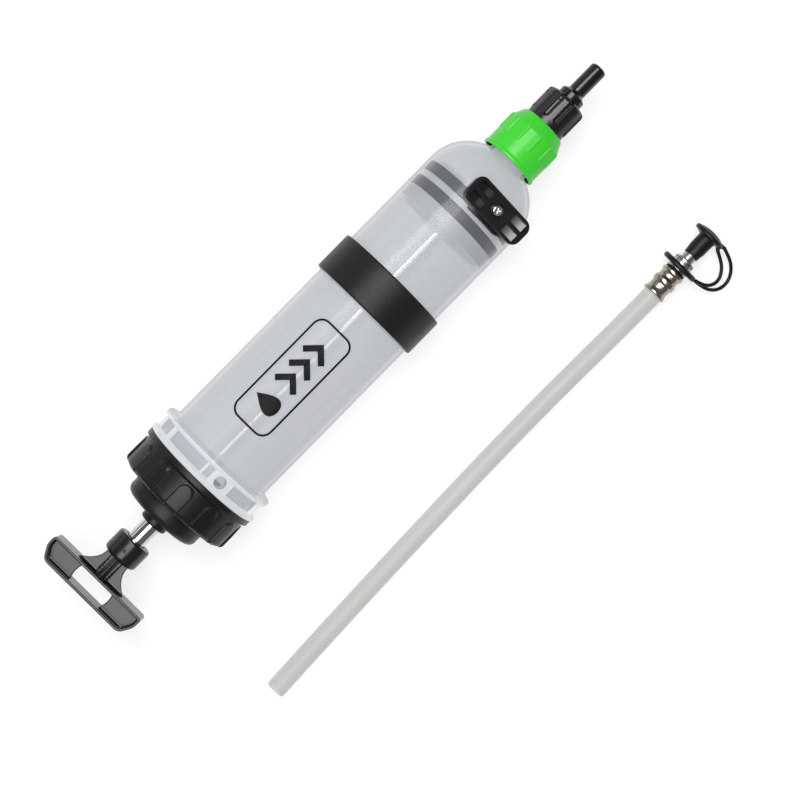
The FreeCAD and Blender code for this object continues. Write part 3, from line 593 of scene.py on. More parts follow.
# A darker, bluer copy of the milky finish for the pocket floors and the vent hole's wall: painted shade in
# these recesses.
BARREL_RECESS_SHADE = milky("barrel_recess_shade", linear(186, 193, 197), linear(172, 180, 186), 0.6, 0.4, 0.6,
                      gloss=0.13)
HOSE_VINYL = milky("hose_vinyl", linear(214, 214, 212), linear(202, 202, 199), 0.62, 0.4, 0.35, gloss=0.3,
                   along=30.0, around=120.0, depth=0.006)

# %% [markdown]
# The mark on the barrel is screen printed: a thin, nearly matt black film with a few pinholes. A glossy black
# would mirror the lights and turn grey, so its specular level is low, and fine noise thins it in places.

# %% Printing ink


def ink():
    """Matt black print with fine pinholes where the screen left it thin."""
    finish = bpy.data.materials.new("printing_ink")
    finish.use_nodes = True
    tree = finish.node_tree
    shader = tree.nodes["Principled BSDF"]
    texture = use_group(tree, GRAIN, {"Grain per metre": 2600.0, "Base roughness": 0.45, "Spread": 0.15})
    thin = add(tree, "ShaderNodeMapRange",
               {"Value": texture["Height"], "From Min": 0.58, "From Max": 0.75, "To Min": 0.0, "To Max": 0.5})
    mixed = add(tree, "ShaderNodeMix",
                {"Factor": thin.outputs[0], 6: linear(6, 6, 7), 7: linear(30, 31, 33)}, data_type="RGBA")
    tree.links.new(mixed.outputs[2], shader.inputs["Base Color"])
    tree.links.new(texture["Roughness"], shader.inputs["Roughness"])
    shader.inputs["Specular IOR Level"].default_value = 0.12
    return finish


INK = ink()

# %% [markdown]
# ## The hose
# The hose is clear vinyl tube, cut square and left bare at one end, and pushed into a crimped sleeve at the
# other. It lies on the ground beside the barrel and rises a little at the sleeve, because the round collar
# of the cap's tether holds the coupling up. Its line is one smooth spline through the chosen points, read
# from the sleeve back to the bare end.

# %% Route points and the spline's own line
HOSE_RADIUS = 7.6
HOSE_BORE = 6.0
HOSE_ROUTE = [
    (0.182, -0.1437, 0.0155),
    (0.150, -0.1437, 0.0149),
    (0.108, -0.1432, 0.0084),
    (0.060, -0.1427, 0.0076),
    (-0.008, -0.1432, 0.0076),
    (-0.092, -0.1453, 0.0076),
    (-0.1665, -0.1476, 0.0076),
    (-0.225, -0.150, 0.0076),
]


def spline_line(name, points):
    """Points along a smooth spline whose control points are given, in millimetres."""
    curve = bpy.data.curves.new(name, "CURVE")
    curve.dimensions = "3D"
    spline = curve.splines.new("NURBS")
    spline.points.add(len(points) - 1)
    spline.points.foreach_set("co", np.hstack([np.array(points), np.ones((len(points), 1))]).ravel())
    spline.order_u = 3
    spline.use_endpoint_u = True
    spline.resolution_u = 24
    holder = bpy.data.objects.new(name, curve)
    bpy.context.scene.collection.objects.link(holder)
    bpy.context.view_layer.update()
    mesh = bpy.data.meshes.new_from_object(holder)
    line = np.empty(len(mesh.vertices) * 3)
    mesh.vertices.foreach_get("co", line)
    bpy.data.objects.remove(holder)
    bpy.data.meshes.remove(mesh)
    return line.reshape(-1, 3) / MM


def length_of(line):
    return float(np.linalg.norm(np.diff(line, axis=0), axis=1).sum())


hose_line = spline_line("hose_line", HOSE_ROUTE)

# %% [markdown]
# The wall of the hose could be a bevelled curve, but that has no bore. So one grid runs along the outside,
# over the cut end and back through the bore, carried along the same smooth line.

# %% Hose wall


def circle(radius, count):
    """Points (r cos a, r sin a) of a circle."""
    a = np.arange(count) * 2 * math.pi / count
    return np.stack([radius * np.cos(a), radius * np.sin(a)], axis=-1)


def hose():
    """Tube wall: the outer circle is carried along the line, and the bore's circle is carried back."""
    section = circle(1.0, 48)
    rim = 0.35
    start = np.full(len(hose_line), HOSE_RADIUS)
    outside = carried(section, hose_line, start)
    inside = carried(section, hose_line, np.full(len(hose_line), HOSE_BORE))[::-1]
    outside[-1] += (carried(section, hose_line, start - rim)[-1] - outside[-1])
    return piece("vinyl_hose", [np.vstack([outside, inside])], HOSE_VINYL, "hose", ["hose"])


the_hose = hose()

# %% [markdown]
# ## Coupling, cap and tether
# The sleeve is pressed in two places, so it has two smooth bumps with waists between them. Behind it come a
# black ring and a bright collar with a nipple. A rubber cap sits on the nipple, with a disc to pull it off
# by, and two rubber strands join the disc to a flat ring round the collar.

# %% Turned pieces of the coupling
FERRULE_X = ends("ferrule")[0] - 0.1
COLLAR_X = ends("ferrule_ring")[1] - 1.5
CAP_X, CAP_END = ends("dust_cap")


def ferrule():
    """Flared lip, two waists between rounded bumps, and a mouth that the hose goes into."""
    x = FERRULE_X
    outline = rounded([
        (x + 0.1, 7.75), (x + 0.1, 9.3, 0.35), (x + 1.5, 9.3, 0.6), (x + 4.2, 8.15, 3.4),
        (x + 8.8, 8.15, 2.6), (x + 10.6, 9.25, 2.4), (x + 13.2, 9.25, 2.4), (x + 15.0, 8.15, 2.0),
        (x + 18.3, 8.15, 2.0),
        (x + 19.9, 9.25, 1.6), (x + 21.9, 9.25, 1.2), (x + 23.2, 8.1, 0.4), (x + 23.2, 4.6), (x + 2.2, 4.6),
        (x + 2.2, 7.75)])

    def swell(x, r, t):
        """The press has eight jaws, which leave shallow flats on the two waists."""
        waist = np.exp(-((x - FERRULE_X - 6.5) / 2.4) ** 2) + np.exp(-((x - FERRULE_X - 16.8) / 2.0) ** 2)
        return np.where(r > 7.9, -0.16 * waist * (0.5 + 0.5 * np.cos(8 * t)), 0.0)

    return piece("crimped_sleeve", [turned(refined(outline, 0.8), FITTING, 96, swell)], CRIMPED_STEEL, "hose",
                 ["ferrule"])


def ferrule_ring():
    low = ends("ferrule_ring")[0]
    outline = rounded([(low, 4.6), (low, 8.3, 0.5), (COLLAR_X, 8.3, 0.5), (COLLAR_X, 4.6)])
    return piece("black_ring", [turned(outline, FITTING, 96)], BLACK_RUBBER, "hose",
                 ["ferrule_ring"])


def coupler():
    """Collar with a rolled edge and a nipple that ends inside the cap."""
    low, high = COLLAR_X, ends("coupler")[1]
    outline = rounded([
        (low, 3.0), (low, 8.4, 0.5), (low + 7.3, 8.4, 0.5), (low + 7.7, 7.9, 0.2), (low + 8.2, 7.9, 0.2),
        (low + 8.6, 8.4, 0.5), (low + 10.5, 8.4, 0.9), (low + 10.5, 5.3, 0.6), (high, 5.3, 1.0), (high, 3.0)])
    return piece("collar_and_nipple", [turned(outline, FITTING, 96)], TURNED_STEEL, "hose",
                 ["coupler"])


the_ferrule = ferrule()
the_ring = ferrule_ring()
the_coupler = coupler()

# %% [markdown]
# The cap is one soft moulding: a skirt that grips the nipple, a neck, and a disc to pull it off by, with the
# roots of both strands running into the disc. It is turned like the metal, but its disc is pushed back as it
# rises, because the strands pull it that way. Bending a finished turned shape is simpler than turning about
# a leaning line, and keeps the skirt round on the nipple.

# %% Rubber cap and ring
CAP_SET_BACK = 1.4


def dust_cap():
    """Blind cap: a skirt that widens over the nipple, a neck, a disc with a rounded rim and a domed end, and
    the thick roots of the two strands, which start inside the disc. The disc leans back like the ring."""
    x, tip = CAP_X, CAP_END - CAP_SET_BACK
    outline = rounded([
        (x - 1.1, 5.4), (x - 1.1, 6.0, 0.3), (x + 2.4, 6.3, 3.0), (x + 5.8, 6.85, 3.0),
        (tip - 5.8, 6.95, 1.6), (tip - 4.6, 13.0, 1.2), (tip - 1.4, 13.0, 1.6), (tip - 0.2, 8.2, 4.0),
        (tip, 0), (x + 17.3, 0),
        (x + 17.3, 5.4)])
    profile = outline[np.argmin(np.abs(outline[:, 1]) + np.abs(outline[:, 0] - tip)):]
    ordered = np.vstack([profile, outline[:len(outline) - len(profile) + 1]])

    def swell(x, r, t):
        """Soft rubber is never quite round: the disc waves a little."""
        return np.where(r > 7.5, 0.12 * np.sin(3 * t + 0.6) * (r - 7.5) / 5.5, 0.0)

    roots = [np.array([(243.8, -158.4, 13.0), (243.7, -156.8, 13.4), (243.4, -154.0, 14.0)]),
             np.array([(238.3, -156.2, 15.3), (239.6, -154.6, 15.5), (241.2, -153.6, 15.5),
                       (243.4, -153.2, 15.5)])]
    lugs = [capped(carried(circle(1.5, 20), root)) for root in roots]
    grid = turned(refined(ordered[1:], 1.0), FITTING, 96, swell)
    out = np.hypot(grid[..., 1] - FITTING[0], grid[..., 2] - FITTING[1])
    grid[..., 0] -= 0.15 * (grid[..., 2] - FITTING[1]) * smooth_step(out - 7.0, 5.0)
    return piece("rubber_cap", [grid] + lugs, BLACK_RUBBER, "dust_cap",
                 ["dust_cap"])


def tether_ring():
    """Flat rubber ring that grips the collar. It leans back: x falls by 0.15 for each unit of height."""
    low, high = ends("tether_ring")
    outline = rounded([(low, 8.45), (low, 15.4, 1.9), (high, 15.4, 1.9), (high, 8.45)])
    grid = turned(outline, FITTING, 96)
    grid[..., 0] -= 0.15 * (grid[..., 2] - FITTING[1])
    return piece("tether_collar", [grid], BLACK_RUBBER, "hose", ["tether_ring"])


the_cap = dust_cap()
the_tether_ring = tether_ring()

# %% [markdown]
# The strands are moulded with the ring and the disc. They are limp, so they hang out in a loop beside the
# coupling.

# %% Tether strands
STRAND_RADIUS = 1.35
OUTER_STRAND = [
    (0.2110, -0.1592, 0.0140),
    (0.2118, -0.1662, 0.0122),
    (0.2154, -0.1732, 0.0074),
    (0.2220, -0.1778, 0.0036),
    (0.2304, -0.1780, 0.0022),
    (0.2376, -0.1738, 0.0038),
    (0.2422, -0.1666, 0.0082),
    (0.2438, -0.1582, 0.0130),
]
INNER_STRAND = [
    (0.2110, -0.1592, 0.0172),
    (0.2124, -0.1650, 0.0160),
    (0.2170, -0.1702, 0.0134),
    (0.2236, -0.1719, 0.0116),
    (0.2302, -0.1689, 0.0114),
    (0.2354, -0.1632, 0.0128),
    (0.2386, -0.1556, 0.0154),
]


def strand(name, points):
    """Round rubber strand carried along its spline, with closed ends."""
    line = spline_line(name + "_line", points)
    grid = capped(carried(circle(STRAND_RADIUS, 20), line))
    made = piece(name.replace("strap", "strand"), [grid], BLACK_RUBBER, None, [name])
    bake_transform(made)
    print(name, "line:", round(length_of(line), 1), "mm")
    return made


strap_outer = strand("strap_outer", OUTER_STRAND)
strap_inner = strand("strap_inner", INNER_STRAND)

# %% [markdown]
# ## The barrel
# The barrel is one moulding: a threaded spigot, two flanges with pockets between them, a plain tube, a domed
# shoulder and a threaded neck. It is a profile turned about the axis. The pockets and the threads are added
# as a change of radius that depends on x and on the angle, and the vent hole is drilled at the end.

# %% Barrel profile
BARREL_X, NECK_END = ends("barrel")
BARREL_RADIUS = 42.5
BORE = 39.3
FLANGE_X = BARREL_X + 26.4
FLANGE_END = FLANGE_X + 3.8
FRONT_FLANGE_X = FLANGE_X + 14.5
FRONT_FLANGE_END = FRONT_FLANGE_X + 5.2
FLANGE_RADIUS = radius_of("barrel")
LAND = 47.5
POCKET_DEPTH = 3.1
SPIGOT = 43.4
DOME = 36.0
DOME_CENTRE = BARREL_RADIUS - DOME
NECK = 16.8
NECK_THREAD = 19.5
NECK_BORE = 14.0
NUT_X = ends("union_nut")[0]
DOME_TURN = math.acos((19.6 - DOME_CENTRE) / DOME)
DOME_X = NUT_X - 0.2 - DOME * math.sin(DOME_TURN)
THREAD_PITCH = 3.0
WALL = BARREL_RADIUS - BORE
print("dome starts at x =", round(DOME_X, 1), "and the neck ends at", round(NECK_END, 1))


def dome_arc(offset, radius_at_neck, count=26):
    """Shoulder arc: (x, r) = centre + (R sin a, R cos a), from a = 0 at the tube to the neck's radius."""
    radius = DOME + offset
    last = math.acos((radius_at_neck - DOME_CENTRE) / radius)
    a = np.linspace(0, last, count)
    return np.stack([DOME_X + radius * np.sin(a), DOME_CENTRE + radius * np.cos(a)], axis=-1)


def barrel_outline():
    outside = dome_arc(0, NECK)
    inside = dome_arc(-WALL, NECK_BORE)[::-1]
    neck_x = outside[-1, 0]
    back = rounded([
        (BARREL_X, BORE + 0.2, 0.3), (BARREL_X, SPIGOT, 0.6), (FLANGE_X, SPIGOT, 0.4),
        (FLANGE_X, FLANGE_RADIUS, 1.7), (FLANGE_END, FLANGE_RADIUS, 1.7), (FLANGE_END, LAND, 0.35),
        (FRONT_FLANGE_X, LAND, 0.35), (FRONT_FLANGE_X, 49.6, 1.7), (FRONT_FLANGE_END, 49.6, 2.4),
        (FRONT_FLANGE_END, BARREL_RADIUS, 1.6), (DOME_X, BARREL_RADIUS), (DOME_X, BORE)])
    front = rounded([
        (neck_x, NECK_BORE), (neck_x, NECK, 0.0), (neck_x + 4.6, NECK, 0.5), (neck_x + 5.6, NECK_THREAD, 0.4),
        (NECK_END, NECK_THREAD, 0.9), (NECK_END, NECK_BORE + 0.5, 0.4)])
    return np.vstack([back[:-2], outside, front[2:], inside, back[-1:]])


# %% [markdown]
# Between the two rear flanges the moulding is hollowed into pockets, with a low boss round the vent hole.
# Cutting each pocket out as a solid would take many Booleans. They are radius changes of the turned grid
# instead, with closer columns only at their walls, which keeps the mesh small. The thread waves are made in
# the same way. Only the vent goes right through the wall, so only the vent is cut.

# %% Pockets, threads and columns
POCKETS = [(-45, 0), (2, 9.5), (31, 75), (78, 122), (125, 169), (172, 216), (219, 263), (266, 312)]
VENT_ANGLE = math.radians(19.4)
VENT_X = (FLANGE_END + FRONT_FLANGE_X) / 2
VENT_HOLE = 4.7
VENT_BOSS = 7.6


def pocket_share(x, t):
    """1 in a pocket and 0 outside, with walls 0.5 mm wide; distances are taken along the land."""
    across = smooth_step(x - FLANGE_END - 0.1, 0.5) * smooth_step(FRONT_FLANGE_X - 0.1 - x, 0.5)
    share = np.zeros_like(x)
    for start, end in POCKETS:
        centre, half = math.radians(start + end) / 2, math.radians(end - start) / 2
        away = np.abs((t - centre + math.pi) % (2 * math.pi) - math.pi)
        share = np.maximum(share, smooth_step((half - away) * LAND, 0.6))
    return share * across


def thread(x, t, start, end, depth):
    """Screw thread: a wave of x / pitch + t / 2 pi with flat crests and roots, fading out at both ends."""
    wave = np.clip(1.6 * np.sin(2 * math.pi * x / THREAD_PITCH + t), -1, 1) * 0.5 - 0.5
    return depth * wave * smooth_step(x - start, 1.5) * smooth_step(end - x, 1.5)


def barrel_swell(x, r, t):
    """Radius change of the barrel: pockets cut the land, a low boss rings the vent, threads cut two ends."""
    land = (np.abs(r - LAND) < 0.3) & (x > FLANGE_END - 0.1) & (x < FRONT_FLANGE_X + 0.1)
    vent = np.hypot(x - VENT_X, (t - VENT_ANGLE) * LAND)
    boss = 0.8 * smooth_step(VENT_BOSS - vent, 0.9)
    change = np.where(land, boss - POCKET_DEPTH * pocket_share(x, t), 0.0)
    spigot = (np.abs(r - SPIGOT) < 0.1) & (x < FLANGE_X - 0.5)
    neck = (np.abs(r - NECK_THREAD) < 0.1) & (x > NUT_X + 4)
    change = change + np.where(spigot, thread(x, t, BARREL_X + 2, FLANGE_X - 3, 0.9), 0.0)
    return change + np.where(neck, thread(x, t, NUT_X + 6.5, NECK_END - 0.5, 1.1), 0.0)


def barrel_columns():
    """Even angles, with closer ones at both walls of every pocket and around the vent."""
    even = np.arange(120) * 2 * math.pi / 120
    spans = np.radians(np.array(POCKETS, float))
    near = np.linspace(-0.1, 0.75, 6) / LAND
    walls = np.concatenate([spans[:, :1] + near, spans[:, 1:] - near])
    vent = VENT_ANGLE + np.linspace(-9, 9, 36) / LAND
    return np.unique(np.round(np.concatenate([even, walls.ravel(), vent]) % (2 * math.pi), 5))


def barrel_skins(centres):
    """Finish of each face: 1 nearer the bore than the outside, 2 on flanges and lands, 3 on pocket floors
    and round the vent hole, 0 elsewhere."""
    x, y, z = centres.T
    r = np.hypot(y - AXIS[0], z - AXIS[1])
    t = np.arctan2(AXIS[0] - y, z - AXIS[1])
    dome = np.hypot(x - DOME_X, r - DOME_CENTRE) < DOME - WALL / 2
    inside = np.where(x < DOME_X, r < (BARREL_RADIUS + BORE) / 2, np.where(x < NUT_X + 0.5, dome, r < 15.4))
    rims = (x > BARREL_X) & (x < FRONT_FLANGE_X + 2.8)
    between = (x > FLANGE_END - 0.2) & (x < FRONT_FLANGE_X + 0.2)
    hole = np.hypot(x - VENT_X, (t - VENT_ANGLE) * r) < VENT_HOLE + 0.4
    kind = np.where(inside, 1, 0)
    kind = np.where(rims & (r > LAND - POCKET_DEPTH + 0.5), 2, kind)
    # Finish 3 is the darker copy that paints shade on the pocket floors and round the vent hole.
    kind = np.where(between & (r < LAND - POCKET_DEPTH + 0.5) & (r > BARREL_RADIUS + 0.5), 3, kind)
    return np.where(hole & (r < 48.2), 3, kind)


# %% Barrel


def radial_rod(radius, low, high, x, angle, count=48):
    """Round bar that stands on the pump's axis line at x, leaned by angle from the top towards -Y."""
    ring = circle(radius, count)
    rows = np.array([low, high])
    grid = np.stack([np.broadcast_to(x + ring[:, 0], (2, count)),
                     np.broadcast_to(ring[:, 1], (2, count)),
                     np.broadcast_to(rows[:, None], (2, count))], axis=-1)
    turn = np.array([[1, 0, 0], [0, math.cos(angle), -math.sin(angle)],
                     [0, math.sin(angle), math.cos(angle)]])
    return capped(grid @ turn.T + np.array([0, AXIS[0], AXIS[1]]))


def barrel():
    outline = refined(barrel_outline(), 10.0)
    close = refined(outline, 0.6)
    keep = (close[:, 0] < FRONT_FLANGE_END + 1) & (close[:, 1] > SPIGOT - 0.1) | (
        (close[:, 0] > NUT_X + 3) & (close[:, 1] > NECK - 0.1))
    matches = (np.abs(close[:, None, :] - outline[None, :, :]).max(axis=2) < 1e-9).any(axis=1)
    profile = close[keep | matches]
    grid = turned(profile, columns=barrel_columns(), swell=barrel_swell)
    hole = skin_of("vent_tool", [radial_rod(VENT_HOLE, 36, 56, VENT_X, VENT_ANGLE)])
    return piece("clear_barrel", drilled(skin_of("barrel", [grid]), [hole]),
                 [BARREL_OUTSIDE, BARREL_INSIDE, BARREL_THICK, BARREL_RECESS_SHADE], "barrel",
                 ["barrel"], paint=barrel_skins)


barrel()

# %% [markdown]
# ## Print on the barrel
# A panel is printed on top of the barrel: a rounded frame, a drop for the fluid and three arrowheads that
# show which way it leaves. The print is a film a few hundredths of a millimetre thick, wrapped round the
# tube, so each mark is drawn flat in (x, arc length) first and then bent to the barrel's radius.

# %% Marks drawn flat, then wrapped
PRINT_X = (-93.0, -1.5)
PRINT_HALF = 16.5
INK_HEIGHT = (0.02, 0.06)


def wrapped(x, arc, height):
    """Flat (x, arc) at a height over the barrel: the arc from the top line becomes an angle, arc / radius."""
    angle = -arc / BARREL_RADIUS
    r = BARREL_RADIUS + height
    return np.stack([x, AXIS[0] - r * np.sin(angle), AXIS[1] + r * np.cos(angle)], axis=-1)


def stroke(path, width, loop):
    """Flat band of even width along a path, with mitred corners: offset = (n1 + n2) / (1 + n1 . n2)."""
    ahead = np.roll(path, -1, axis=0) - path
    normal = np.stack([-ahead[:, 1], ahead[:, 0]], axis=-1) / np.linalg.norm(ahead, axis=1)[:, None]
    before = np.roll(normal, 1, axis=0)
    if not loop:
        normal[-1] = before[-1]
        before[0] = normal[0]
    mitre = (before + normal) / (1 + (before * normal).sum(axis=1))[:, None]
    sides = np.array([-0.5, 0.5, 0.5, -0.5]) * width
    heights = np.array([INK_HEIGHT[0], INK_HEIGHT[0], INK_HEIGHT[1], INK_HEIGHT[1]])
    flat = path[:, None, :] + mitre[:, None, :] * sides[None, :, None]
    grid = wrapped(flat[..., 0], flat[..., 1], np.broadcast_to(heights, flat.shape[:2]))
    return grid if loop else capped(grid)


def filled(outline, rings=6):
    """Flat patch inside an outline that its middle can see all of: rows shrink towards the middle."""
    centre = outline.mean(axis=0)
    shares = np.linspace(0, 1, rings)
    scale = np.concatenate([shares, shares[::-1]])
    heights = np.repeat(INK_HEIGHT, rings)
    flat = centre + (outline - centre)[None] * scale[:, None, None]
    return wrapped(flat[..., 0], flat[..., 1], np.broadcast_to(heights[:, None], flat.shape[:2]))


def drop_outline(x, arc, size, count=64):
    """Drop with its tip up: along = cos a, across = sin a * sin(a / 2)^1.5."""
    a = np.arange(count) * 2 * math.pi / count
    across = np.sin(a) * np.sin(a / 2) ** 1.5
    return np.stack([x + size * across, arc + size * np.cos(a)], axis=-1)


def printed_panel():
    low, high = PRINT_X
    corners = [(low, -PRINT_HALF, 8), (high, -PRINT_HALF, 8), (high, PRINT_HALF, 8), (low, PRINT_HALF, 8)]
    frame_path = refined(rounded(corners, 6.0), 2.0)
    marks = [stroke(frame_path, 1.5, True), filled(drop_outline(low + 21, 0.5, 10.5))]
    for x in (low + 42, low + 56, low + 70):
        arms = np.array([(x - 4.5, 9.0), (x + 4.5, 0.0), (x - 4.5, -9.0)])
        steps = np.linspace(0, 1, 9)[:-1, None]
        path = np.vstack([arms[0] + (arms[1] - arms[0]) * steps, arms[1] + (arms[2] - arms[1]) * steps,
                          arms[2:]])
        marks.append(stroke(path, 4.6, False))
    return piece("printed_panel", marks, INK, "barrel", crease=60)


printed_panel()

# %% [markdown]
# ## The ring nut
# The nut that holds the end plug is grippy: twelve flat pads stand on its side, each with a rounded front
# end, and a wider skirt meets the flange. The pads are a change of radius on a turned profile.

# %% Ring nut
RING_X, RING_END = ends("end_ring_nut")
PAD_COUNT = 12
PAD_HALF = math.radians(7.5)
PAD_PHASE = math.radians(4)
PAD_HEIGHT = 1.35
PAD_END = RING_X + 24.3
PAD_BASE = 46.45


def pad_swell(x, r, t):
    """Pads: the inside distance d to a U-shaped outline raises the side by a smooth step of d."""
    pitch = 2 * math.pi / PAD_COUNT
    across = ((t - PAD_PHASE + pitch / 2) % pitch - pitch / 2) * PAD_BASE
    half = PAD_HALF * PAD_BASE
    beyond = np.maximum(x - (PAD_END - half), 0)
    inside = half - np.hypot(across, beyond)
    ramp = 1 - 0.25 * smooth_step(x - (PAD_END - 2 * half), 2 * half)
    side = (r > PAD_BASE - 6) & (x < RING_END - 4.5) & (x > RING_X - 0.1)
    fade = smooth_step(r - (PAD_BASE - 6), 6)
    return np.where(side, PAD_HEIGHT * ramp * fade * smooth_step(inside, 0.75), 0.0)


def pad_columns():
    """Even angles, with closer ones at both walls of every pad."""
    even = np.arange(240) * 2 * math.pi / 240
    centres = PAD_PHASE + np.arange(PAD_COUNT) * 2 * math.pi / PAD_COUNT
    edge = PAD_HALF - np.linspace(-0.3, 1.0, 7) / PAD_BASE
    walls = np.concatenate([(centres[:, None] + edge).ravel(), (centres[:, None] - edge).ravel()])
    return np.unique(np.round(np.concatenate([even, walls]) % (2 * math.pi), 5))


def ring_nut():
    bore = SPIGOT + 0.4
    outline = rounded([
        (RING_X, 31.8), (RING_X, 34.4, 0.6), (RING_X + 2.6, PAD_BASE, 3.4), (RING_END - 5.6, PAD_BASE, 0.8),
        (RING_END - 4.4, 49.15, 1.0), (RING_END, 49.2, 0.7), (RING_END, bore, 0.3), (RING_X + 1.7, bore),
        (RING_X + 1.7, 31.8, 0.3)])
    close = refined(outline, 0.55)
    matches = (np.abs(close[:, None, :] - refined(outline, 6.0)[None]).max(axis=2) < 1e-9).any(axis=1)
    corner = (np.abs(close[:, None, :] - outline[None]).max(axis=2) < 1e-9).any(axis=1)
    profile = close[(close[:, 1] > bore + 0.5) | matches | corner]
    return piece("padded_ring_nut", [turned(profile, columns=pad_columns(), swell=pad_swell)], NUT_PLASTIC,
                 "ring_nut", ["end_ring_nut"], crease=50)


ring_nut()

# %% [markdown]
# ## The handle
# The T handle is moulded with thin walls: a deep rim runs round the grip, two recessed panels leave a slot
# between them, and two flat webs with hollow edges brace a ridged stem. Where a panel meets the rim it
# rises in a small fillet, which catches the dark line that such corners show.

# %% Sizes of the handle
GRIP_X, HUB_END = ends("handle")
GRIP_LOW, GRIP_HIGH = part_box("handle")
GRIP_HALF = GRIP_HIGH[1] / MM
GRIP_DEEP = (GRIP_HIGH[2] - GRIP_LOW[2]) / MM
GRIP_HALF_DEEP = 12.0
GRIP_LONG = 18.6
STEM_X = GRIP_X + GRIP_LONG
HUB_X = STEM_X + 18.15
HUB_RADIUS = 13.9
RIM = 2.05
WEB_HALF = 1.7
PIN_X = HUB_X + 9.0
print("grip half width", round(GRIP_HALF, 2), "and hub diameter", round(GRIP_DEEP, 2))


def grip_outline(inset):
    """Plan of the grip drawn inwards: flat back, slanted shoulders, square front corners."""
    back, front, half = GRIP_X + inset, STEM_X - inset, GRIP_HALF - inset
    corners = [(back, -half + 5.6, 6.5 - inset), (back + 9.5, -half, 11 - inset),
               (front, -half, 2.2 - inset / 2)]
    return rounded(corners + [(x, -y, radius) for x, y, radius in corners[::-1]], 7.0)


def fillet(distance, radius):
    """Height of a hollow quarter round above a floor: R - sqrt(R^2 - (R - d)^2), and R inside the wall."""
    d = np.clip(distance, 0, radius)
    return radius - np.sqrt(np.maximum(radius ** 2 - (radius - d) ** 2, 0))


def softened(distance, radius):
    """Share of the full thickness near an edge that is rounded with a radius: sqrt(1 - (1 - d / R)^2)."""
    q = np.clip(distance / radius, 0, 1)
    return np.sqrt(np.maximum(1 - (1 - q) ** 2, 0))


def eased(count):
    """Shares from 0 to 1 that lie closer together towards both ends: (1 - cos(pi u)) / 2."""
    return (1 - np.cos(np.linspace(0, math.pi, count))) / 2


# %% Rim, panels, webs, stem and hub


def grip_rim():
    plan = refined(grip_outline(RIM / 2), 1.4)
    path = np.column_stack([plan, np.full(len(plan), AXIS[1])])
    half = RIM / 2
    section = refined(rounded([(-half, -GRIP_HALF_DEEP, 0.7), (half, -GRIP_HALF_DEEP, 0.7),
                               (half, GRIP_HALF_DEEP, 0.7), (-half, GRIP_HALF_DEEP, 0.7)], 18.0), 3.0)
    return carried(section, path, loop=True)


def grip_panel(side):
    """Slab whose section at x is a loop in (y, z), from the slot's bowed end out to the rim and back."""
    plan = grip_outline(RIM / 2)
    upper = plan[plan[:, 1] > 0]
    upper = upper[np.argsort(upper[:, 0], kind="stable")]
    x = GRIP_X + RIM / 2 + (GRIP_LONG - RIM) * eased(56)
    reach = np.array([upper[np.abs(upper[:, 0] - place) < 0.9, 1].max(initial=0) for place in x])
    reach = np.maximum(np.interp(x, upper[:, 0], np.maximum.accumulate(upper[:, 1])), reach)
    centre, half = GRIP_X + GRIP_LONG / 2, GRIP_LONG / 2 - RIM
    near = 14.3 + 1.7 * (1 - np.clip((x - centre) / half, -1, 1) ** 2)
    u = eased(40)
    y = near[:, None] + (reach - near)[:, None] * u
    wall = np.minimum(np.minimum(x - GRIP_X, STEM_X - x)[:, None] - RIM, reach[:, None] - RIM / 2 - y)
    height = (WEB_HALF + fillet(wall, 1.1)) * softened(y - near[:, None], 0.7)
    loop_y = np.hstack([y, y[:, ::-1]]) * side
    loop_z = np.hstack([height, -height[:, ::-1]]) + AXIS[1]
    grid = np.stack([np.broadcast_to(x[:, None], loop_y.shape), loop_y, loop_z], axis=-1)
    return capped(grid)


def gusset():
    """Flat web whose half width falls as 10.1 + 12.7 (1 - q)^2.5 from the grip to the hub."""
    x = STEM_X - 1.0 + (HUB_X + 2 - STEM_X + 1.0) * eased(48)
    q = np.clip((x - STEM_X) / (HUB_X - STEM_X), 0, 1)
    half = 10.1 + 12.7 * (1 - q) ** 2.5
    u = 2 * eased(60) - 1
    y = half[:, None] * u
    root = fillet((x - STEM_X)[:, None], 2.2)
    beside = fillet(np.abs(y) - 4.6, 1.2)
    height = (WEB_HALF + np.maximum(root, beside)) * softened(half[:, None] - np.abs(y), 0.7)
    loop_y = np.hstack([y, y[:, ::-1]])
    loop_z = np.hstack([height, -height[:, ::-1]]) + AXIS[1]
    grid = np.stack([np.broadcast_to(x[:, None], loop_y.shape), loop_y, loop_z], axis=-1)
    return capped(grid)


def stem():
    """Ridged bar: a diamond section with rounded corners, carried from the grip into the hub."""
    section = rounded([(0, 6.4, 1.0), (-5.9, 0, 1.4), (0, -6.4, 1.0), (5.9, 0, 1.4)], 12.0)
    x = np.linspace(STEM_X - 1.2, HUB_X + 2.0, 12)
    path = np.column_stack([x, np.zeros(12), np.full(12, AXIS[1])])
    return capped(carried(section, path))


def hub():
    outline = rounded([
        (HUB_X, 0), (HUB_X, HUB_RADIUS, 3.2), (HUB_END, HUB_RADIUS, 1.7), (HUB_END, 8.1, 0.6),
        (HUB_END - 8, 8.1), (HUB_END - 8, 0)], 9.0)
    body = skin_of("hub", [turned(outline, columns=120)])
    hole = skin_of("pin_tool", [radial_rod(1.5, -16, 16, PIN_X, 0.0, 32)])
    return drilled(body, [hole])


def joined(name, meshes):
    """One mesh that holds all the skins."""
    work = bmesh.new()
    for mesh in meshes:
        work.from_mesh(mesh)
    made = bpy.data.meshes.new(name)
    work.to_mesh(made)
    work.free()
    return made


grip = skin_of("grip", [grip_rim(), grip_panel(1), grip_panel(-1), gusset(), stem()])
piece("t_handle", joined("t_handle", [grip, hub()]), HANDLE_PLASTIC, "rod_and_handle",
      ["handle"], crease=40)

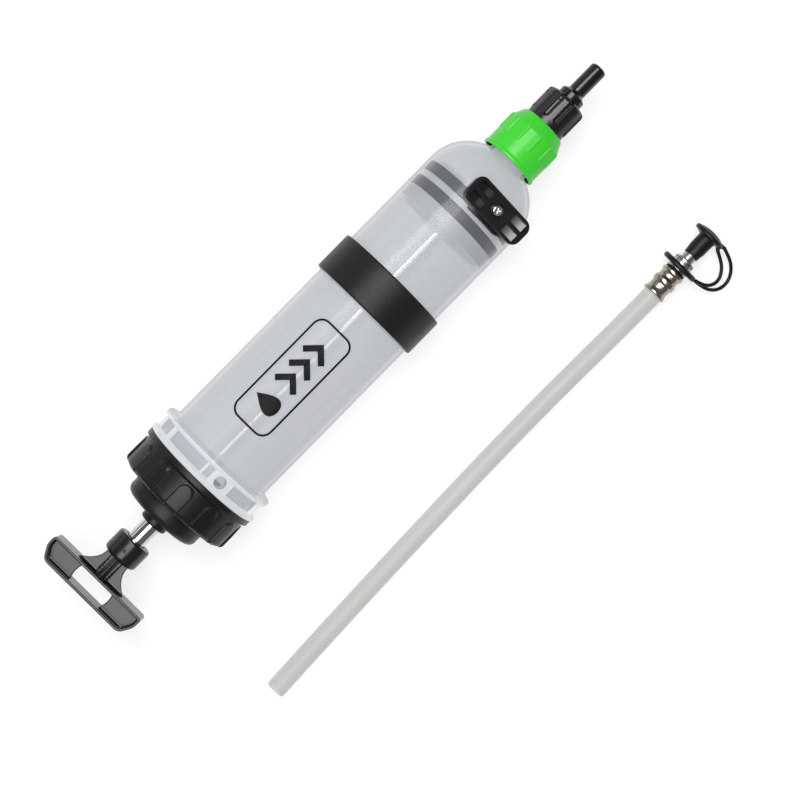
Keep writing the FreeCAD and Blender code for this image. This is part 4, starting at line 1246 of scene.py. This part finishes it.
# %% [markdown]
# ## The union nut
# The green nut pulls the connector against the neck. Its skirt is rolled outwards a little, its nose tapers,
# and twelve short ribs on its side help fingers to turn it.

# %% Union nut
UNION_X, UNION_END = ends("union_nut")
RIB_COUNT = 12
RIB_PHASE = math.radians(15)
RIB_REACH = (14.0, 31.5)


def rib_swell(x, r, t):
    """Ribs: height 0.75 mm, 2.4 mm wide, fading at both ends, only on the outside."""
    pitch = 2 * math.pi / RIB_COUNT
    across = np.abs((t - RIB_PHASE + pitch / 2) % pitch - pitch / 2) * 22.0
    along = smooth_step(x - UNION_X - RIB_REACH[0], 3.0) * smooth_step(UNION_X + RIB_REACH[1] - x, 2.5)
    return np.where(r > 17.2, 0.75 * along * smooth_step(1.5 - across, 1.1), 0.0)


def bore_shade_paint(centres):
    """Finish of each face: 1, a dark green painted shade, in the mouth and on the bore, 0 outside."""
    r = np.hypot(centres[:, 1] - AXIS[0], centres[:, 2] - AXIS[1])
    return np.where((r < 21.5) & (centres[:, 0] < UNION_END - 10), 1, 0)


def union_nut():
    outline = rounded([
        (UNION_X + 2.2, 20.0, 0.3), (UNION_X + 1.2, 21.6, 0.4), (UNION_X + 1.2, 23.3, 0.7),
        (UNION_X + 3.4, 23.3, 1.0), (UNION_X + 4.8, 22.6, 1.4), (UNION_END - 9.9, 22.6, 3.5),
        (UNION_END, 17.9, 1.5), (UNION_END, 16.5, 0.4), (UNION_END - 6.5, 16.5), (UNION_END - 6.5, 19.95)])
    columns = np.unique(np.round(np.concatenate([
        np.arange(120) * 2 * math.pi / 120,
        (RIB_PHASE + np.arange(RIB_COUNT)[:, None] * 2 * math.pi / RIB_COUNT
         + np.linspace(-1.8, 1.8, 13) / 22.0).ravel()]) % (2 * math.pi), 5))
    grid = turned(refined(outline, 0.8), columns=columns, swell=rib_swell)
    return piece("green_union_nut", [grid], [GREEN_PLASTIC, GREEN_PAINTED_SHADE], "union_nut",
                 ["union_nut"], crease=40, paint=bore_shade_paint)


union_nut()

# %% [markdown]
# ## The connector and the seals
# The black connector has pairs of finger grooves with a small step across each, cut into a turned grip. The
# two piston seals are plain bands that press on the bore, so their whole width shows through the wall.

# %% Connector
GRIP_START, SHOULDER_X = ends("outlet_connector")
GRIP_RADIUS = 16.2
TAIL_BORE = 8.35
GROOVE_X = UNION_END + 4.0
GROOVE_HALF = 1.9
GROOVE_DEPTH = 1.5
GROOVE_ANGLES = [math.radians(turn + side * 15.5) for turn in (0, 90, 180, 270) for side in (-1, 1)]
CROSS_STEP = (15.0, 16.4)


def groove_swell(x, r, t):
    """Grooves: the inside distance to a slot with a round start lowers the side; a step crosses each one."""
    change = np.zeros_like(x)
    for angle in GROOVE_ANGLES:
        across = ((t - angle + math.pi) % (2 * math.pi) - math.pi) * GRIP_RADIUS
        before = np.maximum(GROOVE_X + GROOVE_HALF - x, 0)
        inside = GROOVE_HALF - np.hypot(across, before)
        step = smooth_step(x - GROOVE_X - CROSS_STEP[0], 0.4) * smooth_step(GROOVE_X + CROSS_STEP[1] - x, 0.4)
        rim = 0.3 * np.exp(-((inside + 0.15) / 0.3) ** 2)
        change = change + rim - GROOVE_DEPTH * smooth_step(inside, 0.7) * (1 - 0.7 * step)
    side = (r > GRIP_RADIUS - 3.7) & (x > UNION_END + 1) & (x < SHOULDER_X - 0.3)
    return np.where(side, change, 0.0)


def connector():
    outline = rounded([
        (GRIP_START, 6.0), (GRIP_START, 18.9, 0.5), (GRIP_START + 4, 18.9, 0.5),
        (GRIP_START + 4, GRIP_RADIUS),
        (SHOULDER_X - 0.5, GRIP_RADIUS, 3.2), (SHOULDER_X, 12.4, 0.4), (SHOULDER_X, TAIL_BORE, 0.3),
        (SHOULDER_X - 14.5, TAIL_BORE), (SHOULDER_X - 14.5, 6.0)])
    edges = np.array([-0.5, -0.35, -0.2, -0.05, 0.1, 0.25, 0.4, 0.55])
    walls = np.array([angle + side * (GROOVE_HALF - edges) / GRIP_RADIUS
                      for angle in GROOVE_ANGLES for side in (-1, 1)])
    columns = np.concatenate([np.arange(120) * 2 * math.pi / 120, walls.ravel()]) % (2 * math.pi)
    close = refined(outline, 0.4)
    matches = (np.abs(close[:, None, :] - outline[None]).max(axis=2) < 1e-9).any(axis=1)
    profile = close[((close[:, 1] > GRIP_RADIUS - 3.7) & (close[:, 0] > UNION_END)) | matches]
    grid = turned(profile, columns=np.unique(np.round(columns, 5)), swell=groove_swell)
    return piece("grooved_connector", [grid], CONNECTOR_PLASTIC, "outlet",
                 ["outlet_connector"], crease=45)


connector()

# %% [markdown]
# The piston's two cup seals are rubber rings with a lip that the fluid presses outwards. From outside they
# are two dark bands behind the milky wall. Each is a turned ring that reaches the bore over its full width.

# %% Seals


def seal_band(node, facing):
    """Cup seal: a full-width band on the bore with a hollow cup on the side it faces."""
    low, high = ends(node)
    back, front = (low, high) if facing > 0 else (high, low)
    top = radius_of(node)
    step = facing
    outline = rounded([
        (back, 18.0), (back, top - 0.5, 0.5), (back + step * 0.8, top - 0.02, 0.4),
        (front - step * 0.4, top, 0.2), (front, top - 0.4, 0.3), (front, top - 2.0),
        (front - step * 5, top - 4.5, 1.0),
        (front - step * 5, 26.0, 1.0), (front, 25.0), (front, 18.0)])
    return piece(node.replace("seal", "cup_seal"), [turned(refined(outline, 4.0), columns=144)], SEAL_RUBBER,
                 "rod_and_handle", [node])


# %% [markdown]
# ## The bracket
# A hanger is screwed to the front of the barrel. It is a rounded plate whose far end is undercut, so that it
# sits thin on the curve, with four pockets that save plastic, a countersink for the screw and a skirt along
# the barrel. The plate is stacked from outlines, and a copy of the barrel's outside cuts its seat.

# %% Bracket
BRACKET_LEAN = math.radians(25.0)
BRACKET_X = middle("bracket_screw")[0]
BRACKET_HALF_WIDE = 10.6
BRACKET_HALF_LONG = 28.75
BRACKET_FACE = 50.0
POCKET_HALF = 3.15
POCKET_OFFSET = 4.75
POCKET_FROM, POCKET_TO = 11.0, 24.2


def leaned(grid, angle=BRACKET_LEAN):
    """Turn (x, v, w), w measured from the pump's axis, by angle from the top towards -Y."""
    turn = np.array([[1, 0, 0], [0, math.cos(angle), -math.sin(angle)],
                     [0, math.sin(angle), math.cos(angle)]])
    return grid @ turn.T + np.array([0, AXIS[0], AXIS[1]])


def bracket_plate():
    """Stack of rounded rectangles; below the face the far end draws in by half of the depth."""
    rows = []
    for height, inset in ((50.0, 4.0), (50.0, 1.0), (49.92, 0.62), (49.7, 0.3), (49.3, 0.08), (48.7, 0.0),
                          (20, 0)):
        wide, long = BRACKET_HALF_WIDE - inset, BRACKET_HALF_LONG - inset
        flat = rounded([(-wide, -long, 7 - inset), (wide, -long, 7 - inset), (wide, long, 7 - inset),
                        (-wide, long, 7 - inset)], 7.5)
        v = flat[:, 1] - np.clip(flat[:, 1] / 20, 0, 1) * 0.55 * min(BRACKET_FACE - height, 19.0)
        rows.append(np.column_stack([BRACKET_X + flat[:, 0], v, np.full(len(flat), float(height))]))
    return capped(leaned(np.array(rows)))


def bracket_skirt():
    """Curved bar along the barrel beside the plate, narrow at both ends."""
    t = np.radians(np.linspace(-21, 27, 40))
    share = smooth_step(t - t[0], 0.03) * (1 - 0.8 * smooth_step(t - math.radians(15), 0.2))
    low = BRACKET_X - BRACKET_HALF_WIDE - 2.8 * share
    high = np.full_like(low, BRACKET_X - BRACKET_HALF_WIDE + 2)
    x = np.stack([low, low, low + 0.5, high, high], axis=-1)
    r = np.array([42.3, 44.9, 45.5, 45.5, 42.3])[None] + np.zeros_like(x)
    angle = t[:, None] + np.zeros_like(x)
    return capped(leaned(np.stack([x, -r * np.sin(angle), r * np.cos(angle)], axis=-1)))


def pocket_tool(side, row):
    """Pocket with a level floor near the screw and a ramp that climbs towards the end of the plate.
    The pair at the low end climbs nearly to the face, and the other pair stays deep."""
    end = 44.6 if side > 0 else 48.6
    profile = np.array([(POCKET_FROM, 52), (POCKET_TO, 52), (POCKET_TO, end), (POCKET_FROM + 4.6, 43.6),
                        (POCKET_FROM, 43.6)])
    profile[:, 0] *= side
    x = BRACKET_X + row * POCKET_OFFSET + np.array([-1, 1]) * POCKET_HALF
    grid = np.stack([np.broadcast_to(x[:, None], (2, 5)), np.broadcast_to(profile[:, 0], (2, 5)),
                     np.broadcast_to(profile[:, 1], (2, 5))], axis=-1)
    return skin_of("pocket_tool", [capped(leaned(grid))])


def bracket():
    seat = np.vstack([[(BRACKET_X - 30, 0), (BRACKET_X - 30, BARREL_RADIUS + 0.12)], dome_arc(0.12, NECK),
                      [(NUT_X, 0)]])
    cutters = [skin_of("seat_tool", [turned(seat, columns=240)])]
    cutters += [pocket_tool(side, row) for side in (-1, 1) for row in (-1, 1)]
    cutters += [skin_of("recess_tool", [radial_rod(5.3, 47.6, 54, BRACKET_X, BRACKET_LEAN)]),
                skin_of("screw_tool", [radial_rod(2.0, 40, 50, BRACKET_X, BRACKET_LEAN)]),
                skin_of("boss_tool", [radial_rod(4.3, 36, 45.3, BRACKET_X, BRACKET_LEAN)])]
    body = drilled(skin_of("plate", [bracket_plate()]), [skin_of("skirt", [bracket_skirt()])], "UNION")
    return piece("hanger_bracket", drilled(body, cutters), BRACKET_PLASTIC, "barrel",
                 ["bracket"], crease=32)


for node_name, facing in (("seal_rear", -1), ("seal_front", 1)):
    seal_band(node_name, facing)
bracket()

# %% [markdown]
# ## The remaining parts
# The rod, the plug, the band, the screw, the nozzle and the inner pieces already have their true shape in the
# CAD model. Modelling them again would add nothing, so they keep their meshes and only take a finish.

# %% Finishes of the CAD parts
CAD_FINISHES = {
    "barrel": BARREL_OUTSIDE, "grip_band": BAND_PLASTIC, "bracket": BRACKET_PLASTIC,
    "bracket_screw": BRIGHT_STEEL, "end_plug": PLUG_PLASTIC, "rod_bush": NUT_PLASTIC, "rod_seal": SEAL_RUBBER,
    "plug_o_ring": SEAL_RUBBER, "end_ring_nut": NUT_PLASTIC, "piston_rear": PISTON_PLASTIC,
    "piston_front": PISTON_PLASTIC, "seal_rear": SEAL_RUBBER, "seal_front": SEAL_RUBBER,
    "piston_nut": BRIGHT_STEEL, "piston_washer": BRIGHT_STEEL, "rod": POLISHED_STEEL,
    "handle": HANDLE_PLASTIC, "handle_pin": BLACKED_STEEL, "outlet_connector": CONNECTOR_PLASTIC,
    "outlet_gasket": SEAL_RUBBER, "nozzle": NOZZLE_PLASTIC, "nozzle_o_ring": SEAL_RUBBER,
    "union_nut": GREEN_PLASTIC,
}
for node_name, finish in CAD_FINISHES.items():
    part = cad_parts[node_name]
    part.data.materials.clear()
    part.data.materials.append(finish)

# %% [markdown]
# ## Floor and light
# The pump lies on a plain white sheet under large soft lights, which leave hardly any shadow. The sheet gives
# off some light of its own, as paper does when it is lit evenly all round, so that the shadows stay pale. A
# long box overhead makes the highlight along the barrel, and a weak one at the side shapes the black parts.

# %% Floor and light
floor_mesh = bpy.data.meshes.new("floor")
FLOOR = 6.0
floor_mesh.from_pydata([(-FLOOR, -FLOOR, 0), (FLOOR, -FLOOR, 0), (FLOOR, FLOOR, 0), (-FLOOR, FLOOR, 0)], [],
                       [(0, 1, 2, 3)])
floor = bpy.data.objects.new("floor", floor_mesh)
bpy.context.scene.collection.objects.link(floor)
paper = bpy.data.materials.new("floor_paper")
paper.use_nodes = True
paper_shader = paper.node_tree.nodes["Principled BSDF"]
paper_shader.inputs["Base Color"].default_value = (0.34, 0.34, 0.34, 1)
paper_shader.inputs["Emission Color"].default_value = (1, 1, 1, 1)
paper_shader.inputs["Emission Strength"].default_value = 0.7
paper_shader.inputs["Roughness"].default_value = 0.9
floor_mesh.materials.append(paper)


def softbox(name, place, aim, size, radiance):
    """Rectangular light whose face is as bright as radiance: watts = radiance * area * pi."""
    data = bpy.data.lights.new(name, "AREA")
    data.shape = "RECTANGLE"
    data.size, data.size_y = size
    data.energy = radiance * size[0] * size[1] * math.pi
    box = bpy.data.objects.new(name, data)
    bpy.context.scene.collection.objects.link(box)
    box.location = place
    direction = np.array(aim) - np.array(place)
    box.rotation_euler = Vector(direction).to_track_quat("-Z", "Y").to_euler()


softbox("key", (0.365, 0.475, 2.05), (0.365, 0.475, 0), (0.67, 1.25), 9.0)
softbox("overhead", (-0.40, -0.10, 2.05), (-0.40, -0.10, 0), (1.4, 1.2), 4.2)
softbox("side_fill", (0.0, 2.3, 1.0), (0, 0, 0.05), (2.6, 1.0), 0.7)

world = bpy.data.worlds.new("studio")
world.use_nodes = True
world.node_tree.nodes["Background"].inputs["Color"].default_value = (1, 1, 1, 1)
world.node_tree.nodes["Background"].inputs["Strength"].default_value = 0.16
bpy.context.scene.world = world
bpy.context.scene.view_settings.view_transform = "Standard"
